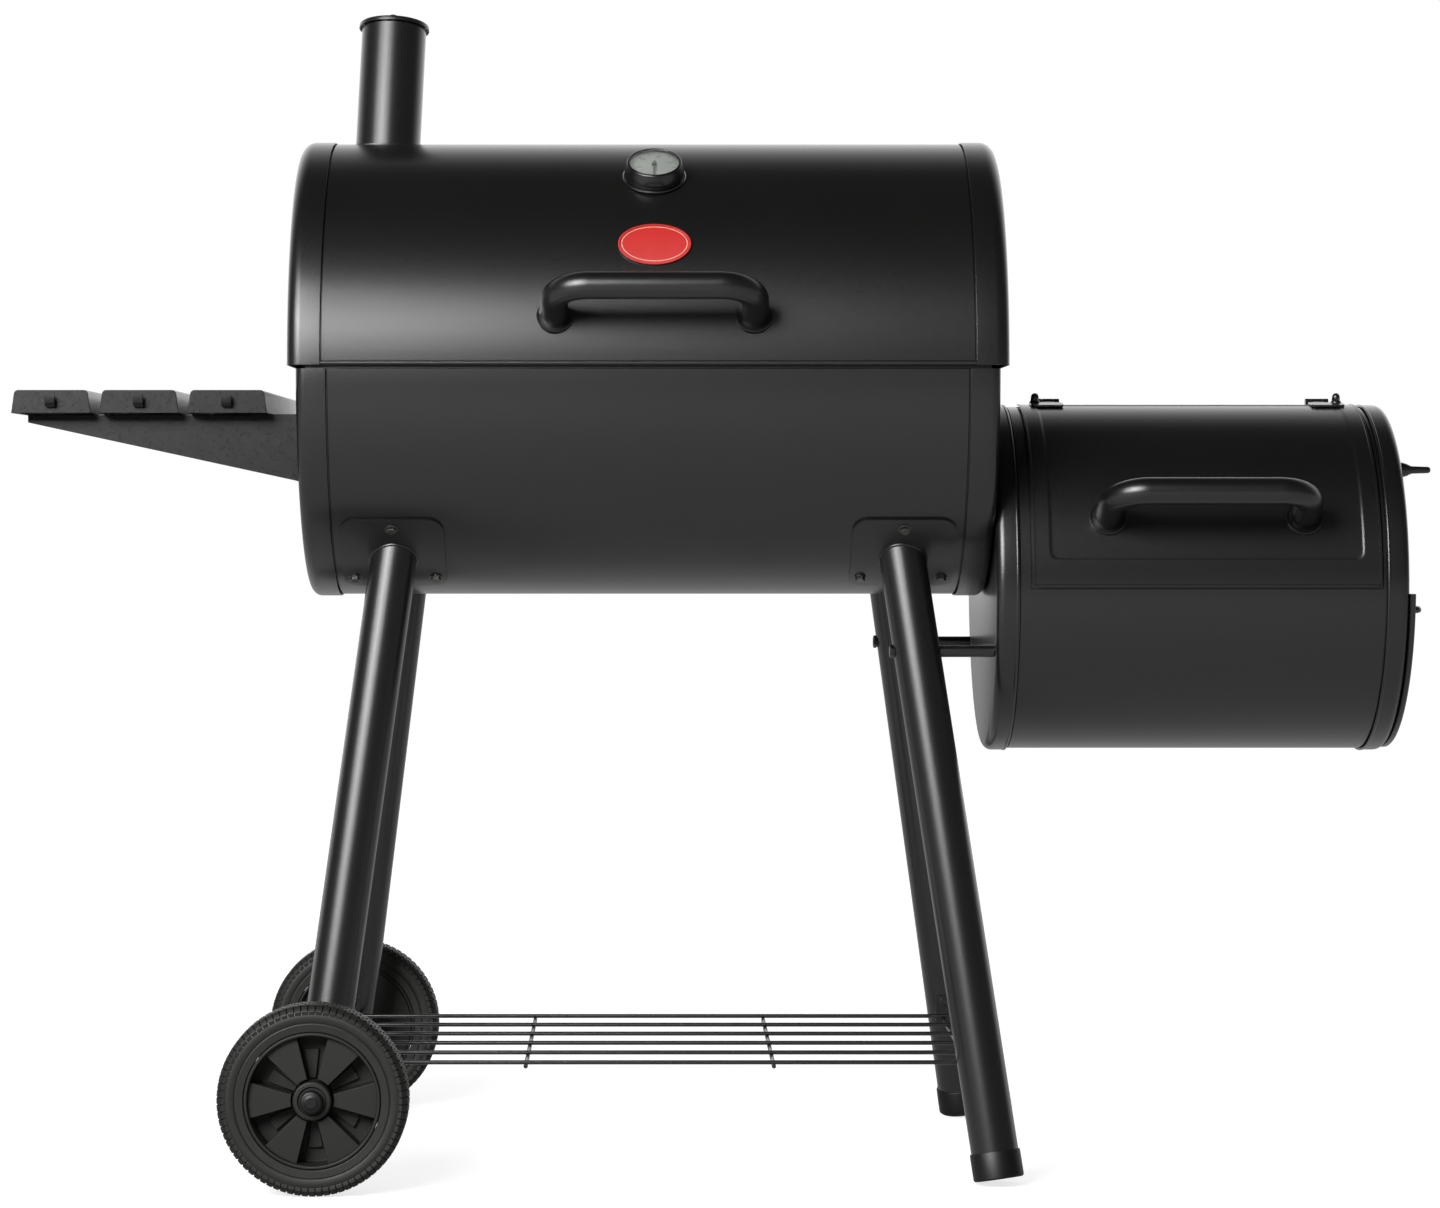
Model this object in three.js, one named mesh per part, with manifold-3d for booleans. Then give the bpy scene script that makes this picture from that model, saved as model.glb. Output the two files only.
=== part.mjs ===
// Offset smoker: a barrel grill with a hinged lid, a firebox on its right end, a slatted shelf on
// its left end, four splayed legs, two wheels and a wire shelf between the legs.
// Lengths are millimetres. +X points to the firebox, -Y to the front and +Z up.

import * as THREE from 'three';
import { mergeVertices } from 'three/addons/utils/BufferGeometryUtils.js';
import Module from 'manifold-3d';

const wasm = await Module();
wasm.setup();

// Shared clearance, tool overrun, angles and facet counts
const gap = 0.3;
const overrun = 6;
const degree = Math.PI / 180;
const drumFacets = 40;
const wheelFacets = 24;
const roundFacets = 20;
const tubeFacets = 16;
const pinFacets = 8;
const wireFacets = 6;
const cornerFacets = 2;
const bendFacets = 4;

// Main barrel
const barrelRadius = 222.5;
const barrelLength = 666;
const barrelAxisHeight = 775;
const skinWall = 1.6;
const skirtProud = 1.7;
const barrelSkirt = 28.6;
const barrelCorner = 9;
const rimRise = 3;
const endCapDrop = 5;

// Lid
const lidClearance = 0.9;
const lidOverhang = 8.5;
const lidSkirt = 32;
const lidDrop = 2;
const lipRadius = 2.2;
const lipStand = 0.275;
const lidFeatureX = 6;

// Lid hinges
const lidHingeInset = 143;
const lidKnuckleRadius = 6;
const lidPinRadius = 3;
const lidHingeWidth = 40;
const leafWall = 2.5;
const lidLeafReach = 42;
const barrelLeafReach = 40;
const lidLeafStart = 4;
const barrelLeafStart = 9;
const lidWebRise = 12;
const barrelWebDrop = 15;
const barrelWebTop = 4.8;

// Bar handles of the lid and the firebox door
const handleTubeRadius = 13;
const handleSpacing = 188;
const handleReach = 66;
const handleBend = 27;
const handleTilt = 22.5 * degree;
const washerRadius = 17.5;
const washerDepth = 4;
const lidHandleElevation = 11.5 * degree;
const doorHandleElevation = 20.4 * degree;

// Thermometer
const thermometerElevation = 54 * degree;
const flangeRadius = 30.5;
const flangeDepth = 3;
const caseRadius = 26.5;
const caseDepth = 18;
const dialRadius = 23.7;
const dialFloor = 12.5;
const dialWall = 1;
const needleLength = 19;
const needleTail = 6;
const needleWidth = 1.8;
const needleWall = 0.8;
const needleHubRadius = 3;
const spindleRadius = 1;
const lensWall = 1;
const probeRadius = 4.5;
const probeLength = 55;

// Oval plate on the lid
const badgeElevation = 30.3 * degree;
const badgeWidth = 69.5;
const badgeHeight = 46;
const badgeWall = 1.5;
const badgeRim = 2;
const badgeRimRise = 0.8;

// Chimney
const chimneyInset = 70.5;
const chimneyBack = 11.5 * degree;
const chimneyLean = 2.2 * degree;
const chimneyRadius = 32.5;
const chimneyWall = 1.8;
const chimneyHeight = 130;
const chimneyInside = 9;
const flueDepth = 18;
const chimneyFlangeRadius = 46;
const chimneyFlangeWall = 2;
const capOverhang = 3;
const capWall = 1.6;
const capLip = 3;
const capScrewInset = 7;
const capScrewRadius = 2.5;
const capScrewHeadRadius = 5;
const capScrewHead = 3.6;
const capScrewCrownRadius = 3.5;
const capBossRadius = 6;
const capBossDepth = 14;

// Grates
const grateCount = 4;
const grateSlack = 1;
const grateWall = 8;
const grateDrop = 24;
const grateBorder = 8;
const grateSlots = 9;
const grateRib = 6;
const grateMidRib = 14;
const ledgeWidth = 15;
const ledgeWall = 2;
const ashGrateDrop = 130;
const ashGrateWall = 2.5;
const ashGrateInset = 53;
const ashGrateBorder = 14;
const ashGrateSlots = 12;
const ashGrateRib = 16;

// Firebox
const fireboxRadius = 170;
const fireboxLength = 395.3;
const fireboxDrop = 206;
const fireboxSkirt = 21.5;
const fireboxCorner = 8;
const passageInset = 26;
const fireGrateDrop = 9;
const fireGrateWall = 5;
const fireGrateInset = 12;
const fireGrateSlots = 8;
const fireGrateRib = 18;

// Firebox door
const doorInsetLeft = 13;
const doorInsetRight = 6;
const doorWall = 2;
const doorDrop = 6.5;
const doorBack = 3;
const doorCorner = 8;
const doorLap = 14;
const doorHingeBack = 12;
const doorHingeStand = 5;
const doorKnuckleRadius = 3.5;
const doorPinRadius = 1.5;
const doorHingeWidth = 23;
const doorHingeInset = 20.5;
const doorLeafTab = 9;
const doorLeafWall = 2;
const doorLeafReach = 30;
const doorLeafFront = 5;
const fixedLeafReach = 26;

// Ash drawer
const drawerInset = 10;
const drawerWall = 1.5;
const drawerTop = 22;
const drawerLength = 350;
const drawerFrontInset = 1;
const drawerFrontTop = 13;
const drawerFrontWall = 5.6;
const drawerClearance = 1;
const runnerWidth = 9;
const runnerAngle = 28 * degree;
const pullWidth = 110;
const pullReach = 29;
const pullRadius = 3.5;
const pullBend = 10;
const pullDrop = 31;

// Air damper in the right end of the firebox
const damperY = -75;
const damperRise = 75;
const damperRadius = 52;
const damperWall = 1.6;
const ventCount = 3;
const ventRadius = 13;
const ventOrbit = 28;
const ventTurn = 45 * degree;
const rivetRadius = 4;
const rivetHeadRadius = 8;
const rivetHead = 2;
const knobOrbit = 44;
const knobAngle = 135 * degree;
const knobBaseRadius = 7;
const knobBaseStraight = 7.2;
const knobBaseDepth = 12;
const knobNeckRadius = 3.85;
const knobTipRadius = 3.2;
const knobCrownRadius = 2.6;
const knobCrownDepth = 1;
const knobLength = 31;

// Legs and feet
const legRadius = 22.5;
const legWall = 1.8;
const legTopInset = 87;
const legTopY = 125;
const legTopDrop = 186;
const footSplay = 85;
const footY = 218;
const footRadius = 24;
const footHeight = 26;
const footFloor = 4;
const axleSplay = 65.5;
const axleY = 204;
const legTail = 26;
const saddleElevation = 56 * degree;
const saddleWidth = 100;
const saddleHeight = 116;
const saddleCorner = 16;
const saddleWall = 2.5;

// Braces from the right legs to the firebox
const braceDrop = 69;
const braceRadius = 5.5;
const braceHeadRadius = 9;
const braceHead = 6;
const braceHeadStand = 2;

// Axle and wheels
const wheelRadius = 89;
const wheelWidth = 40;
const wheelMiddle = 272;
const axleRadius = 5;
const spacerRadius = 9;
const axleCapRadius = 10.7;
const axleCapDepth = 9;
const axleCapDome = 3;
const beadRadius = 72.2;
const rimRadius = 63.6;
const rimWall = 4.1;
const hubRadius = 18;
const tyreShoulder = 5;
const sidewallDip = 3;
const rimDip = 1.5;
const webFace = 13;
const webBack = 4;
const spokeCount = 6;
const pocketAngle = 29 * degree;
const pocketDepth = 14;
const pocketInner = 22;
const pocketOuter = 58.5;

// Wire shelf between the legs
const wireRadius = 2.1;
const wireCount = 6;
const wireHeight = 109;
const wireEdgeInset = 1.4;
const wireEndInset = 3.2;
const crossWireShare = 0.38;
const crossWireMiddle = 1.5;
const endWireInset = 4;
const weldShare = 0.9;
const tabWidth = 16;
const tabWall = 2;
const tabTop = 130;
const tabBottom = 101;

// Slatted shelf on the left end
const slatCount = 3;
const slatPitch = 83.5;
const slatTopWidth = 68;
const slatBottomWidth = 75.4;
const slatHeight = 22;
const slatLength = 410;
const slatWall = 1.5;
const slatCorner = 4;
const shelfDrop = 25;
const shelfClearance = 28;
const hookWidth = 9.5;
const hookHeight = 11;
const hookReach = 8;
const hookWall = 2;
const hookDrop = 16;
const bracketSideInset = 44.5;
const bracketWall = 2;
const bracketDepth = 64;
const bracketTip = 8;
const bracketInset = 12;
const bracketFlange = 20;

// Derived places
const lidRadius = barrelRadius + lidClearance + skinWall;
const lidLength = barrelLength + 2 * lidOverhang;
const fireboxAxisHeight = barrelAxisHeight - fireboxDrop;
const legTopHeight = barrelAxisHeight - legTopDrop;
const braceHeight = fireboxAxisHeight - braceDrop;
const shelfTop = barrelAxisHeight - shelfDrop;
const bracketY = barrelRadius - bracketSideInset;
const drawerRadius = fireboxRadius - drawerInset;
const drawerFrontRadius = fireboxRadius - drawerFrontInset;
const fireboxLeft = barrelLength / 2 + gap;
const fireboxRight = fireboxLeft + fireboxLength;
const barrelAxis = new THREE.Vector3(0, 0, barrelAxisHeight);
const fireboxAxis = new THREE.Vector3(0, 0, fireboxAxisHeight);
const doorOuterRadius = fireboxRadius + gap + doorWall;
const doorLeft = fireboxLeft + fireboxSkirt + doorInsetLeft;
const doorRight = fireboxRight - fireboxSkirt - doorInsetRight;
const doorMiddle = (doorLeft + doorRight) / 2;
const chimneyX = chimneyInset - barrelLength / 2;
const lidHingeSpacing = barrelLength - 2 * lidHingeInset;
const ashGrateLength = barrelLength - 2 * ashGrateInset;
const legTopX = barrelLength / 2 - legTopInset;
const footX = legTopX + footSplay;
const axleX = legTopX + axleSplay;

// Materials
function paint(colour, roughness, metalness) {
  return new THREE.MeshStandardMaterial({ color: colour, roughness, metalness });
}
const blackPaint = paint(0x1c1c1c, 0.42, 0.25);
const handlePaint = paint(0x161616, 0.5, 0.2);
const castIron = paint(0x262626, 0.75, 0.5);
const steelSheet = paint(0x4a4a48, 0.55, 0.8);
const chrome = paint(0xc9c9c6, 0.18, 1);
const zinc = paint(0x8d8d89, 0.35, 0.9);
const dialWhite = paint(0xe4e4de, 0.5, 0);
const needleRed = paint(0xb8281e, 0.45, 0);
const glass = paint(0xdfe6e6, 0.05, 0);
const badgeRed = paint(0xd8301f, 0.4, 0.1);
const darkRubber = paint(0x2a2b28, 0.85, 0);
const wheelPlastic = paint(0x33342f, 0.6, 0);
const capPlastic = paint(0x151515, 0.55, 0);

// Solids, and joining, cutting and keeping what is common
function solidOf(shape) {
  const bare = shape.clone();
  bare.deleteAttribute('normal');
  bare.deleteAttribute('uv');
  const merged = mergeVertices(bare, 1e-4);
  const corners = [];
  for (let i = 0; i < merged.index.count; i += 3) {
    const a = merged.index.getX(i);
    const b = merged.index.getX(i + 1);
    const c = merged.index.getX(i + 2);
    if (a !== b && b !== c && c !== a) corners.push(a, b, c);
  }
  const mesh = new wasm.Mesh({
    numProp: 3,
    vertProperties: new Float32Array(merged.attributes.position.array),
    triVerts: new Uint32Array(corners),
  });
  return new wasm.Manifold(mesh);
}

function shapeOf(solid) {
  const mesh = solid.getMesh();
  const shape = new THREE.BufferGeometry();
  shape.setAttribute('position', new THREE.BufferAttribute(mesh.vertProperties.slice(), 3));
  shape.setIndex(new THREE.BufferAttribute(mesh.triVerts.slice(), 1));
  return shape;
}

function join(first, ...others) {
  return shapeOf(others.reduce((sum, other) => sum.add(solidOf(other)), solidOf(first)));
}

function cut(first, ...tools) {
  return shapeOf(tools.reduce((rest, tool) => rest.subtract(solidOf(tool)), solidOf(first)));
}

function common(first, second) {
  return shapeOf(solidOf(first).intersect(solidOf(second)));
}

// Points, turned profiles and extrusions
function at(x, y, z) {
  return new THREE.Vector3(x, y, z);
}

function profileOf(pairs) {
  return pairs.map(([radius, along]) => new THREE.Vector2(radius, along));
}

// A profile of (radius, along) pairs turned about the line from base along direction.
function turned(pairs, base, direction, facets = drumFacets) {
  const closed = pairs[0][0] > 0 || pairs.at(-1)[0] > 0;
  const profile = profileOf(closed ? [...pairs, pairs[0]] : pairs);
  if (THREE.ShapeUtils.area(profile) < 0) profile.reverse();
  const shape = new THREE.LatheGeometry(profile, facets);
  const turn = new THREE.Quaternion().setFromUnitVectors(at(0, 1, 0), direction.clone().normalize());
  shape.applyQuaternion(turn);
  return shape.translate(base.x, base.y, base.z);
}

function rod(radius, from, to, facets = pinFacets) {
  const length = from.distanceTo(to);
  const profile = [[0, 0], [radius, 0], [radius, length], [0, length]];
  return turned(profile, from, to.clone().sub(from), facets);
}

function pipe(outer, inner, from, to, facets = drumFacets) {
  const length = from.distanceTo(to);
  const profile = [[inner, 0], [outer, 0], [outer, length], [inner, length]];
  return turned(profile, from, to.clone().sub(from), facets);
}

function block(low, high) {
  const size = high.clone().sub(low);
  const middle = high.clone().add(low).multiplyScalar(0.5);
  return new THREE.BoxGeometry(size.x, size.y, size.z).translate(middle.x, middle.y, middle.z);
}

// An outline in a plane, with its own across and up directions, extruded along across x up.
function extruded(outline, depth, base, across, up, curveSegments = cornerFacets) {
  const shape = new THREE.ExtrudeGeometry(outline, { depth, bevelEnabled: false, curveSegments });
  const out = across.clone().cross(up);
  const frame = new THREE.Matrix4().makeBasis(across, up, out).setPosition(base);
  return shape.applyMatrix4(frame);
}

// Outline coordinates are (y, z).
function alongX(outline, from, to, segments) {
  return extruded(outline, to - from, at(from, 0, 0), at(0, 1, 0), at(0, 0, 1), segments);
}

// Outline coordinates are (x, z).
function alongY(outline, from, to, segments) {
  return extruded(outline, to - from, at(0, to, 0), at(1, 0, 0), at(0, 0, 1), segments);
}

// Outline coordinates are (x, y).
function alongZ(outline, from, to, segments) {
  return extruded(outline, to - from, at(0, 0, from), at(1, 0, 0), at(0, 1, 0), segments);
}

function polygon(pairs) {
  return new THREE.Shape(pairs.map(([across, up]) => new THREE.Vector2(across, up)));
}

function rectangle(left, right, bottom, top) {
  return polygon([[left, bottom], [right, bottom], [right, top], [left, top]]);
}

function roundedRectangle(left, right, bottom, top, corner) {
  const outline = new THREE.Shape();
  outline.absarc(right - corner, bottom + corner, corner, -90 * degree, 0);
  outline.absarc(right - corner, top - corner, corner, 0, 90 * degree);
  outline.absarc(left + corner, top - corner, corner, 90 * degree, 180 * degree);
  outline.absarc(left + corner, bottom + corner, corner, 180 * degree, 270 * degree);
  return outline;
}

function sector(inner, outer, start, end, centreHeight) {
  const outline = new THREE.Shape();
  outline.absarc(0, centreHeight, outer, start, end, false);
  outline.absarc(0, centreHeight, inner, end, start, true);
  return outline;
}

function disc(across, up, radius) {
  const outline = new THREE.Shape();
  outline.absarc(across, up, radius, 0, 360 * degree);
  return outline;
}

// A path with one step between each two points, so that straight stretches take a single step.
class PointPath extends THREE.Curve {
  constructor(points) {
    super();
    this.points = points;
  }

  getPoint(t, target = new THREE.Vector3()) {
    const place = t * (this.points.length - 1);
    const i = Math.min(Math.floor(place), this.points.length - 2);
    return target.lerpVectors(this.points[i], this.points[i + 1], place - i);
  }

  getUtoTmapping(u) {
    return u;
  }
}

// A round bar along straight stretches joined by bends.
function bentBar(corners, bend, radius, facets) {
  const points = [corners[0]];
  for (let i = 1; i < corners.length - 1; i += 1) {
    const corner = corners[i];
    const before = corner.clone().sub(corners[i - 1]).setLength(bend);
    const after = corners[i + 1].clone().sub(corner).setLength(bend);
    const enter = corner.clone().sub(before);
    const leave = corner.clone().add(after);
    points.push(...new THREE.QuadraticBezierCurve3(enter, corner, leave).getPoints(bendFacets));
  }
  points.push(corners.at(-1));
  const extrudePath = new PointPath(points);
  const steps = points.length - 1;
  const section = disc(0, 0, radius);
  return new THREE.ExtrudeGeometry(section, { steps, extrudePath, curveSegments: facets / 2 });
}

// Bodies and their pieces
const smoker = new THREE.Group();

function body(name, pivot, parent = smoker) {
  const group = new THREE.Group();
  group.name = name;
  group.position.copy(pivot);
  const carrier = parent.userData.pivot ?? at(0, 0, 0);
  group.position.sub(carrier);
  group.userData.pivot = pivot.clone();
  parent.add(group);
  return group;
}

function piece(parent, name, shape, material) {
  const mesh = new THREE.Mesh(shape, material);
  mesh.name = name;
  const carrier = parent.userData.pivot ?? at(0, 0, 0);
  mesh.position.copy(carrier).negate();
  parent.add(mesh);
  return mesh;
}

// A pressed end cap: a flat face, a rolled corner and a skirt. Pairs are (radius, along).
function capProfile(radius, skirt, corner, wall) {
  const pairs = [[0, 0]];
  const centre = radius - corner;
  for (let i = 0; i <= cornerFacets; i += 1) {
    const turn = (i / cornerFacets) * 90 * degree;
    pairs.push([centre + corner * Math.sin(turn), corner - corner * Math.cos(turn)]);
  }
  pairs.push([radius, skirt], [radius - wall, skirt]);
  pairs.push([radius - wall, corner], [centre, wall], [0, wall]);
  return pairs;
}

function endCap(radius, skirt, corner, face, side) {
  const pairs = capProfile(radius + skirtProud, skirt, corner, skirtProud - gap);
  return turned(pairs, face, at(-side, 0, 0));
}

function halfSpace(height, above) {
  const reach = barrelLength;
  const low = above ? height - reach : height;
  return block(at(-reach, -reach, low), at(reach, reach, low + reach));
}

// A curved plate on a drum: an outline round a radial line, kept between two radii.
function drumPlate(outline, axis, x, elevation, inner, outer, length, segments = cornerFacets) {
  const radial = at(0, -Math.cos(elevation), Math.sin(elevation));
  const across = at(1, 0, 0);
  const up = radial.clone().cross(across);
  const base = axis.clone().setX(x);
  const prism = extruded(outline, outer + overrun, base, across, up, segments);
  const shell = pipe(outer, inner, axis.clone().setX(x - length), axis.clone().setX(x + length));
  return common(shell, prism);
}

// The passage for smoke through both end faces: what the two drums share, drawn in by a margin.
function smokePassage() {
  const from = barrelLength / 2 - barrelSkirt;
  const to = fireboxLeft + fireboxSkirt;
  const big = rod(barrelRadius - passageInset, barrelAxis.clone().setX(from),
    barrelAxis.clone().setX(to), drumFacets);
  const small = rod(fireboxRadius - passageInset, fireboxAxis.clone().setX(from),
    fireboxAxis.clone().setX(to), drumFacets);
  return common(big, small);
}

// Main barrel
function barrelSkin() {
  const half = barrelLength / 2 - barrelCorner;
  const shell = pipe(barrelRadius, barrelRadius - skinWall, barrelAxis.clone().setX(-half),
    barrelAxis.clone().setX(half));
  const open = cut(shell, halfSpace(barrelAxisHeight + rimRise, false));
  const ledges = [grateDrop, ashGrateDrop].flatMap((drop) => [ledge(1, drop), ledge(-1, drop)]);
  return join(open, ...ledges);
}

// A ledge that carries grates, along one side of the barrel.
function ledge(side, carried) {
  const half = barrelLength / 2 - barrelCorner;
  const top = barrelAxisHeight - carried - gap;
  const drop = barrelAxisHeight - top;
  const wall = Math.sqrt((barrelRadius - skinWall / 2) ** 2 - (drop + ledgeWall) ** 2);
  const near = side * (wall - ledgeWidth);
  const far = side * wall;
  return block(at(-half, Math.min(near, far), top - ledgeWall), at(half, Math.max(near, far), top));
}

function barrelEnd(side) {
  const face = barrelAxis.clone().setX(side * barrelLength / 2);
  const cap = endCap(barrelRadius, barrelSkirt, barrelCorner, face, side);
  const open = cut(cap, halfSpace(barrelAxisHeight - endCapDrop, false));
  return side > 0 ? cut(open, smokePassage()) : open;
}

// Lid
function chimneyFrame() {
  const direction = at(
    Math.sin(chimneyLean),
    Math.cos(chimneyLean) * Math.sin(chimneyBack),
    Math.cos(chimneyLean) * Math.cos(chimneyBack),
  );
  const base = at(
    chimneyX,
    lidRadius * Math.sin(chimneyBack),
    barrelAxisHeight + lidRadius * Math.cos(chimneyBack),
  );
  return { base, direction };
}

function onChimney(distance) {
  const { base, direction } = chimneyFrame();
  return base.clone().addScaledVector(direction, distance);
}

function thermometerPoint(distance) {
  const reach = lidRadius + distance;
  return at(
    lidFeatureX,
    -reach * Math.cos(thermometerElevation),
    barrelAxisHeight + reach * Math.sin(thermometerElevation),
  );
}

function lidSkin() {
  const half = lidLength / 2 - barrelCorner;
  const shell = pipe(lidRadius, lidRadius - skinWall, barrelAxis.clone().setX(-half),
    barrelAxis.clone().setX(half));
  const open = cut(shell, halfSpace(barrelAxisHeight - lidDrop, true));
  const lips = [-1, 1].map((side) => {
    const y = side * (lidRadius + lipStand);
    const height = barrelAxisHeight - lidDrop + lipRadius;
    const end = lidLength / 2 - lidSkirt - gap;
    return rod(lipRadius, at(-end, y, height), at(end, y, height));
  });
  const flue = rod(chimneyRadius + gap, onChimney(-flueDepth), onChimney(overrun), roundFacets);
  const probe = rod(probeRadius + gap, thermometerPoint(-overrun), thermometerPoint(overrun),
    roundFacets);
  return cut(join(open, ...lips), flue, probe);
}

function lidEnd(side) {
  const face = barrelAxis.clone().setX(side * lidLength / 2);
  const cap = endCap(lidRadius, lidSkirt, barrelCorner, face, side);
  return cut(cap, halfSpace(barrelAxisHeight - lidDrop, true));
}

// A tube handle with a washer under each foot, standing on a drum.
function barHandle(x, axis, drumRadius, elevation) {
  const out = at(0, -Math.cos(handleTilt), Math.sin(handleTilt));
  const foot = at(x, -drumRadius * Math.cos(elevation), axis.z + drumRadius * Math.sin(elevation));
  const half = handleSpacing / 2;
  const spot = (across, reach) => foot.clone().add(at(across, 0, 0)).addScaledVector(out, reach);
  const corners = [
    spot(-half, -washerRadius),
    spot(-half, handleReach),
    spot(half, handleReach),
    spot(half, -washerRadius),
  ];
  const bar = bentBar(corners, handleBend, handleTubeRadius, pinFacets);
  const washers = [-half, half].map((across) => (
    rod(washerRadius, spot(across, -washerRadius / 2), spot(across, washerDepth), tubeFacets)
  ));
  const end = handleSpacing;
  const drum = rod(drumRadius + gap, axis.clone().setX(x - end), axis.clone().setX(x + end),
    drumFacets);
  return cut(join(bar, ...washers), drum);
}

// Thermometer
function thermometerCase() {
  const front = caseDepth;
  const bore = dialRadius + gap;
  const pairs = [
    [0, -probeLength],
    [probeRadius, -probeLength],
    [probeRadius, gap],
    [flangeRadius, gap],
    [flangeRadius, flangeDepth],
    [caseRadius, flangeDepth],
    [caseRadius, front],
    [bore, front],
    [bore, dialFloor],
    [0, dialFloor],
  ];
  return onThermometer(pairs, roundFacets);
}

function onThermometer(pairs, facets) {
  const base = thermometerPoint(0);
  const direction = thermometerPoint(1).sub(base);
  return turned(pairs, base, direction, facets);
}

function thermometerDial() {
  const floor = dialFloor + gap;
  const top = floor + dialWall;
  const spindle = top + gap + needleWall + gap;
  const pairs = [
    [0, floor],
    [dialRadius, floor],
    [dialRadius, top],
    [spindleRadius, top],
    [spindleRadius, spindle],
    [0, spindle],
  ];
  return onThermometer(pairs, roundFacets);
}

function thermometerNeedle() {
  const base = thermometerPoint(dialFloor + gap + dialWall + gap);
  const out = thermometerPoint(1).sub(thermometerPoint(0));
  const across = at(1, 0, 0);
  const up = out.clone().cross(across);
  const bar = polygon([
    [-needleWidth / 2, needleTail],
    [needleWidth / 2, needleTail],
    [needleWidth / 4, -needleLength],
    [-needleWidth / 4, -needleLength],
  ]);
  const arm = extruded(bar, needleWall, base, across, up);
  const hub = extruded(disc(0, 0, needleHubRadius), needleWall, base, across, up, pinFacets / 2);
  const bore = rod(spindleRadius + gap, base.clone().addScaledVector(out, -overrun),
    base.clone().addScaledVector(out, overrun));
  return cut(join(arm, hub), bore);
}

function thermometerLens() {
  const low = caseDepth - lensWall;
  const pairs = [[0, low], [dialRadius, low], [dialRadius, caseDepth], [0, caseDepth]];
  return onThermometer(pairs, roundFacets);
}

// Oval plate with a raised rim
function badgePlate() {
  const ellipse = (inset) => {
    const outline = new THREE.Shape();
    outline.absellipse(0, 0, badgeWidth / 2 - inset, badgeHeight / 2 - inset, 0, 360 * degree);
    return outline;
  };
  const low = lidRadius + gap;
  const face = low + badgeWall;
  const top = face + badgeRimRise;
  const place = [barrelAxis, lidFeatureX, badgeElevation];
  const plate = drumPlate(ellipse(0), ...place, low, top, badgeWidth, pinFacets);
  return cut(plate, drumPlate(ellipse(badgeRim), ...place, face, top + overrun, badgeWidth, pinFacets));
}

// Chimney
function chimneyTube() {
  const { direction } = chimneyFrame();
  const wall = pipe(chimneyRadius, chimneyRadius - chimneyWall, onChimney(-chimneyInside),
    onChimney(chimneyHeight), roundFacets);
  const seat = capScrewSeat(direction);
  const boss = rod(capBossRadius, seat(chimneyHeight - capBossDepth), seat(chimneyHeight));
  const hole = rod(capScrewRadius + gap, seat(chimneyHeight - capBossDepth - overrun),
    seat(chimneyHeight + overrun));
  return cut(join(wall, boss), hole);
}

// The cap screw stands inside the front of the tube, on a boss against the wall.
function capScrewSeat(direction) {
  const front = at(0, -1, 0).addScaledVector(direction, direction.y).normalize();
  return (distance) => onChimney(distance).addScaledVector(front, chimneyRadius - capScrewInset);
}

function chimneyFlange() {
  const { base, direction } = chimneyFrame();
  const plate = rod(chimneyFlangeRadius, onChimney(-lidRadius / 2), onChimney(lidRadius / 4),
    roundFacets);
  const low = lidRadius + gap;
  const end = chimneyFlangeRadius * 2;
  const shell = pipe(low + chimneyFlangeWall, low, barrelAxis.clone().setX(base.x - end),
    barrelAxis.clone().setX(base.x + end));
  const bore = rod(chimneyRadius + gap, base.clone().addScaledVector(direction, -lidRadius),
    base.clone().addScaledVector(direction, lidRadius), roundFacets);
  return cut(common(shell, plate), bore);
}

function chimneyCap() {
  const { direction } = chimneyFrame();
  const radius = chimneyRadius + capOverhang;
  const pairs = [
    [0, capLip],
    [radius - capWall, capLip],
    [radius - capWall, 0],
    [radius, 0],
    [radius, capLip + capWall / 2],
    [radius - capWall / 2, capLip + capWall],
    [0, capLip + capWall],
  ];
  const cap = turned(pairs, onChimney(chimneyHeight + gap * 2), direction, roundFacets);
  const seat = capScrewSeat(direction);
  const hole = rod(capScrewRadius + gap, seat(chimneyHeight - overrun),
    seat(chimneyHeight + capLip + capWall + overrun));
  return cut(cap, hole);
}

function capScrew() {
  const { direction } = chimneyFrame();
  const seat = capScrewSeat(direction);
  const capTop = gap * 3 + capLip + capWall;
  const length = capTop + capBossDepth;
  const pairs = [
    [0, 0],
    [capScrewRadius, 0],
    [capScrewRadius, length],
    [capScrewHeadRadius, length],
    [capScrewHeadRadius, length + capScrewHead / 2],
    [capScrewCrownRadius, length + capScrewHead],
    [0, length + capScrewHead],
  ];
  return turned(pairs, seat(chimneyHeight - capBossDepth), direction, pinFacets);
}

// Hinges. A leaf is a curved strip, a web and knuckles about the hinge axis.
function lidHingeAxis() {
  const y = lidRadius + lipStand + lipRadius + lidKnuckleRadius + 2 * gap;
  return at(0, y, barrelAxisHeight);
}

function lidHingeLeaf(x) {
  const axis = lidHingeAxis();
  const low = lidRadius + gap;
  const start = lidLeafStart / low;
  const strip = sector(low, low + leafWall, start, lidLeafReach / low, barrelAxisHeight);
  const knuckle = lidHingeWidth / 6;
  const web = polygon([
    [low * Math.cos(start), barrelAxisHeight + low * Math.sin(start)],
    [axis.y, axis.z - lidPinRadius / 2],
    [axis.y, axis.z + lidKnuckleRadius],
    [low + leafWall / 2, axis.z + lidWebRise],
  ]);
  const half = lidHingeWidth / 2;
  const leaf = join(
    alongX(strip, x - half, x + half),
    alongX(web, x - knuckle, x + knuckle),
    rod(lidKnuckleRadius, axis.clone().setX(x - knuckle), axis.clone().setX(x + knuckle)),
  );
  const bore = rod(lidPinRadius + gap, axis.clone().setX(x - half), axis.clone().setX(x + half));
  return cut(leaf, bore);
}

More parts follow.
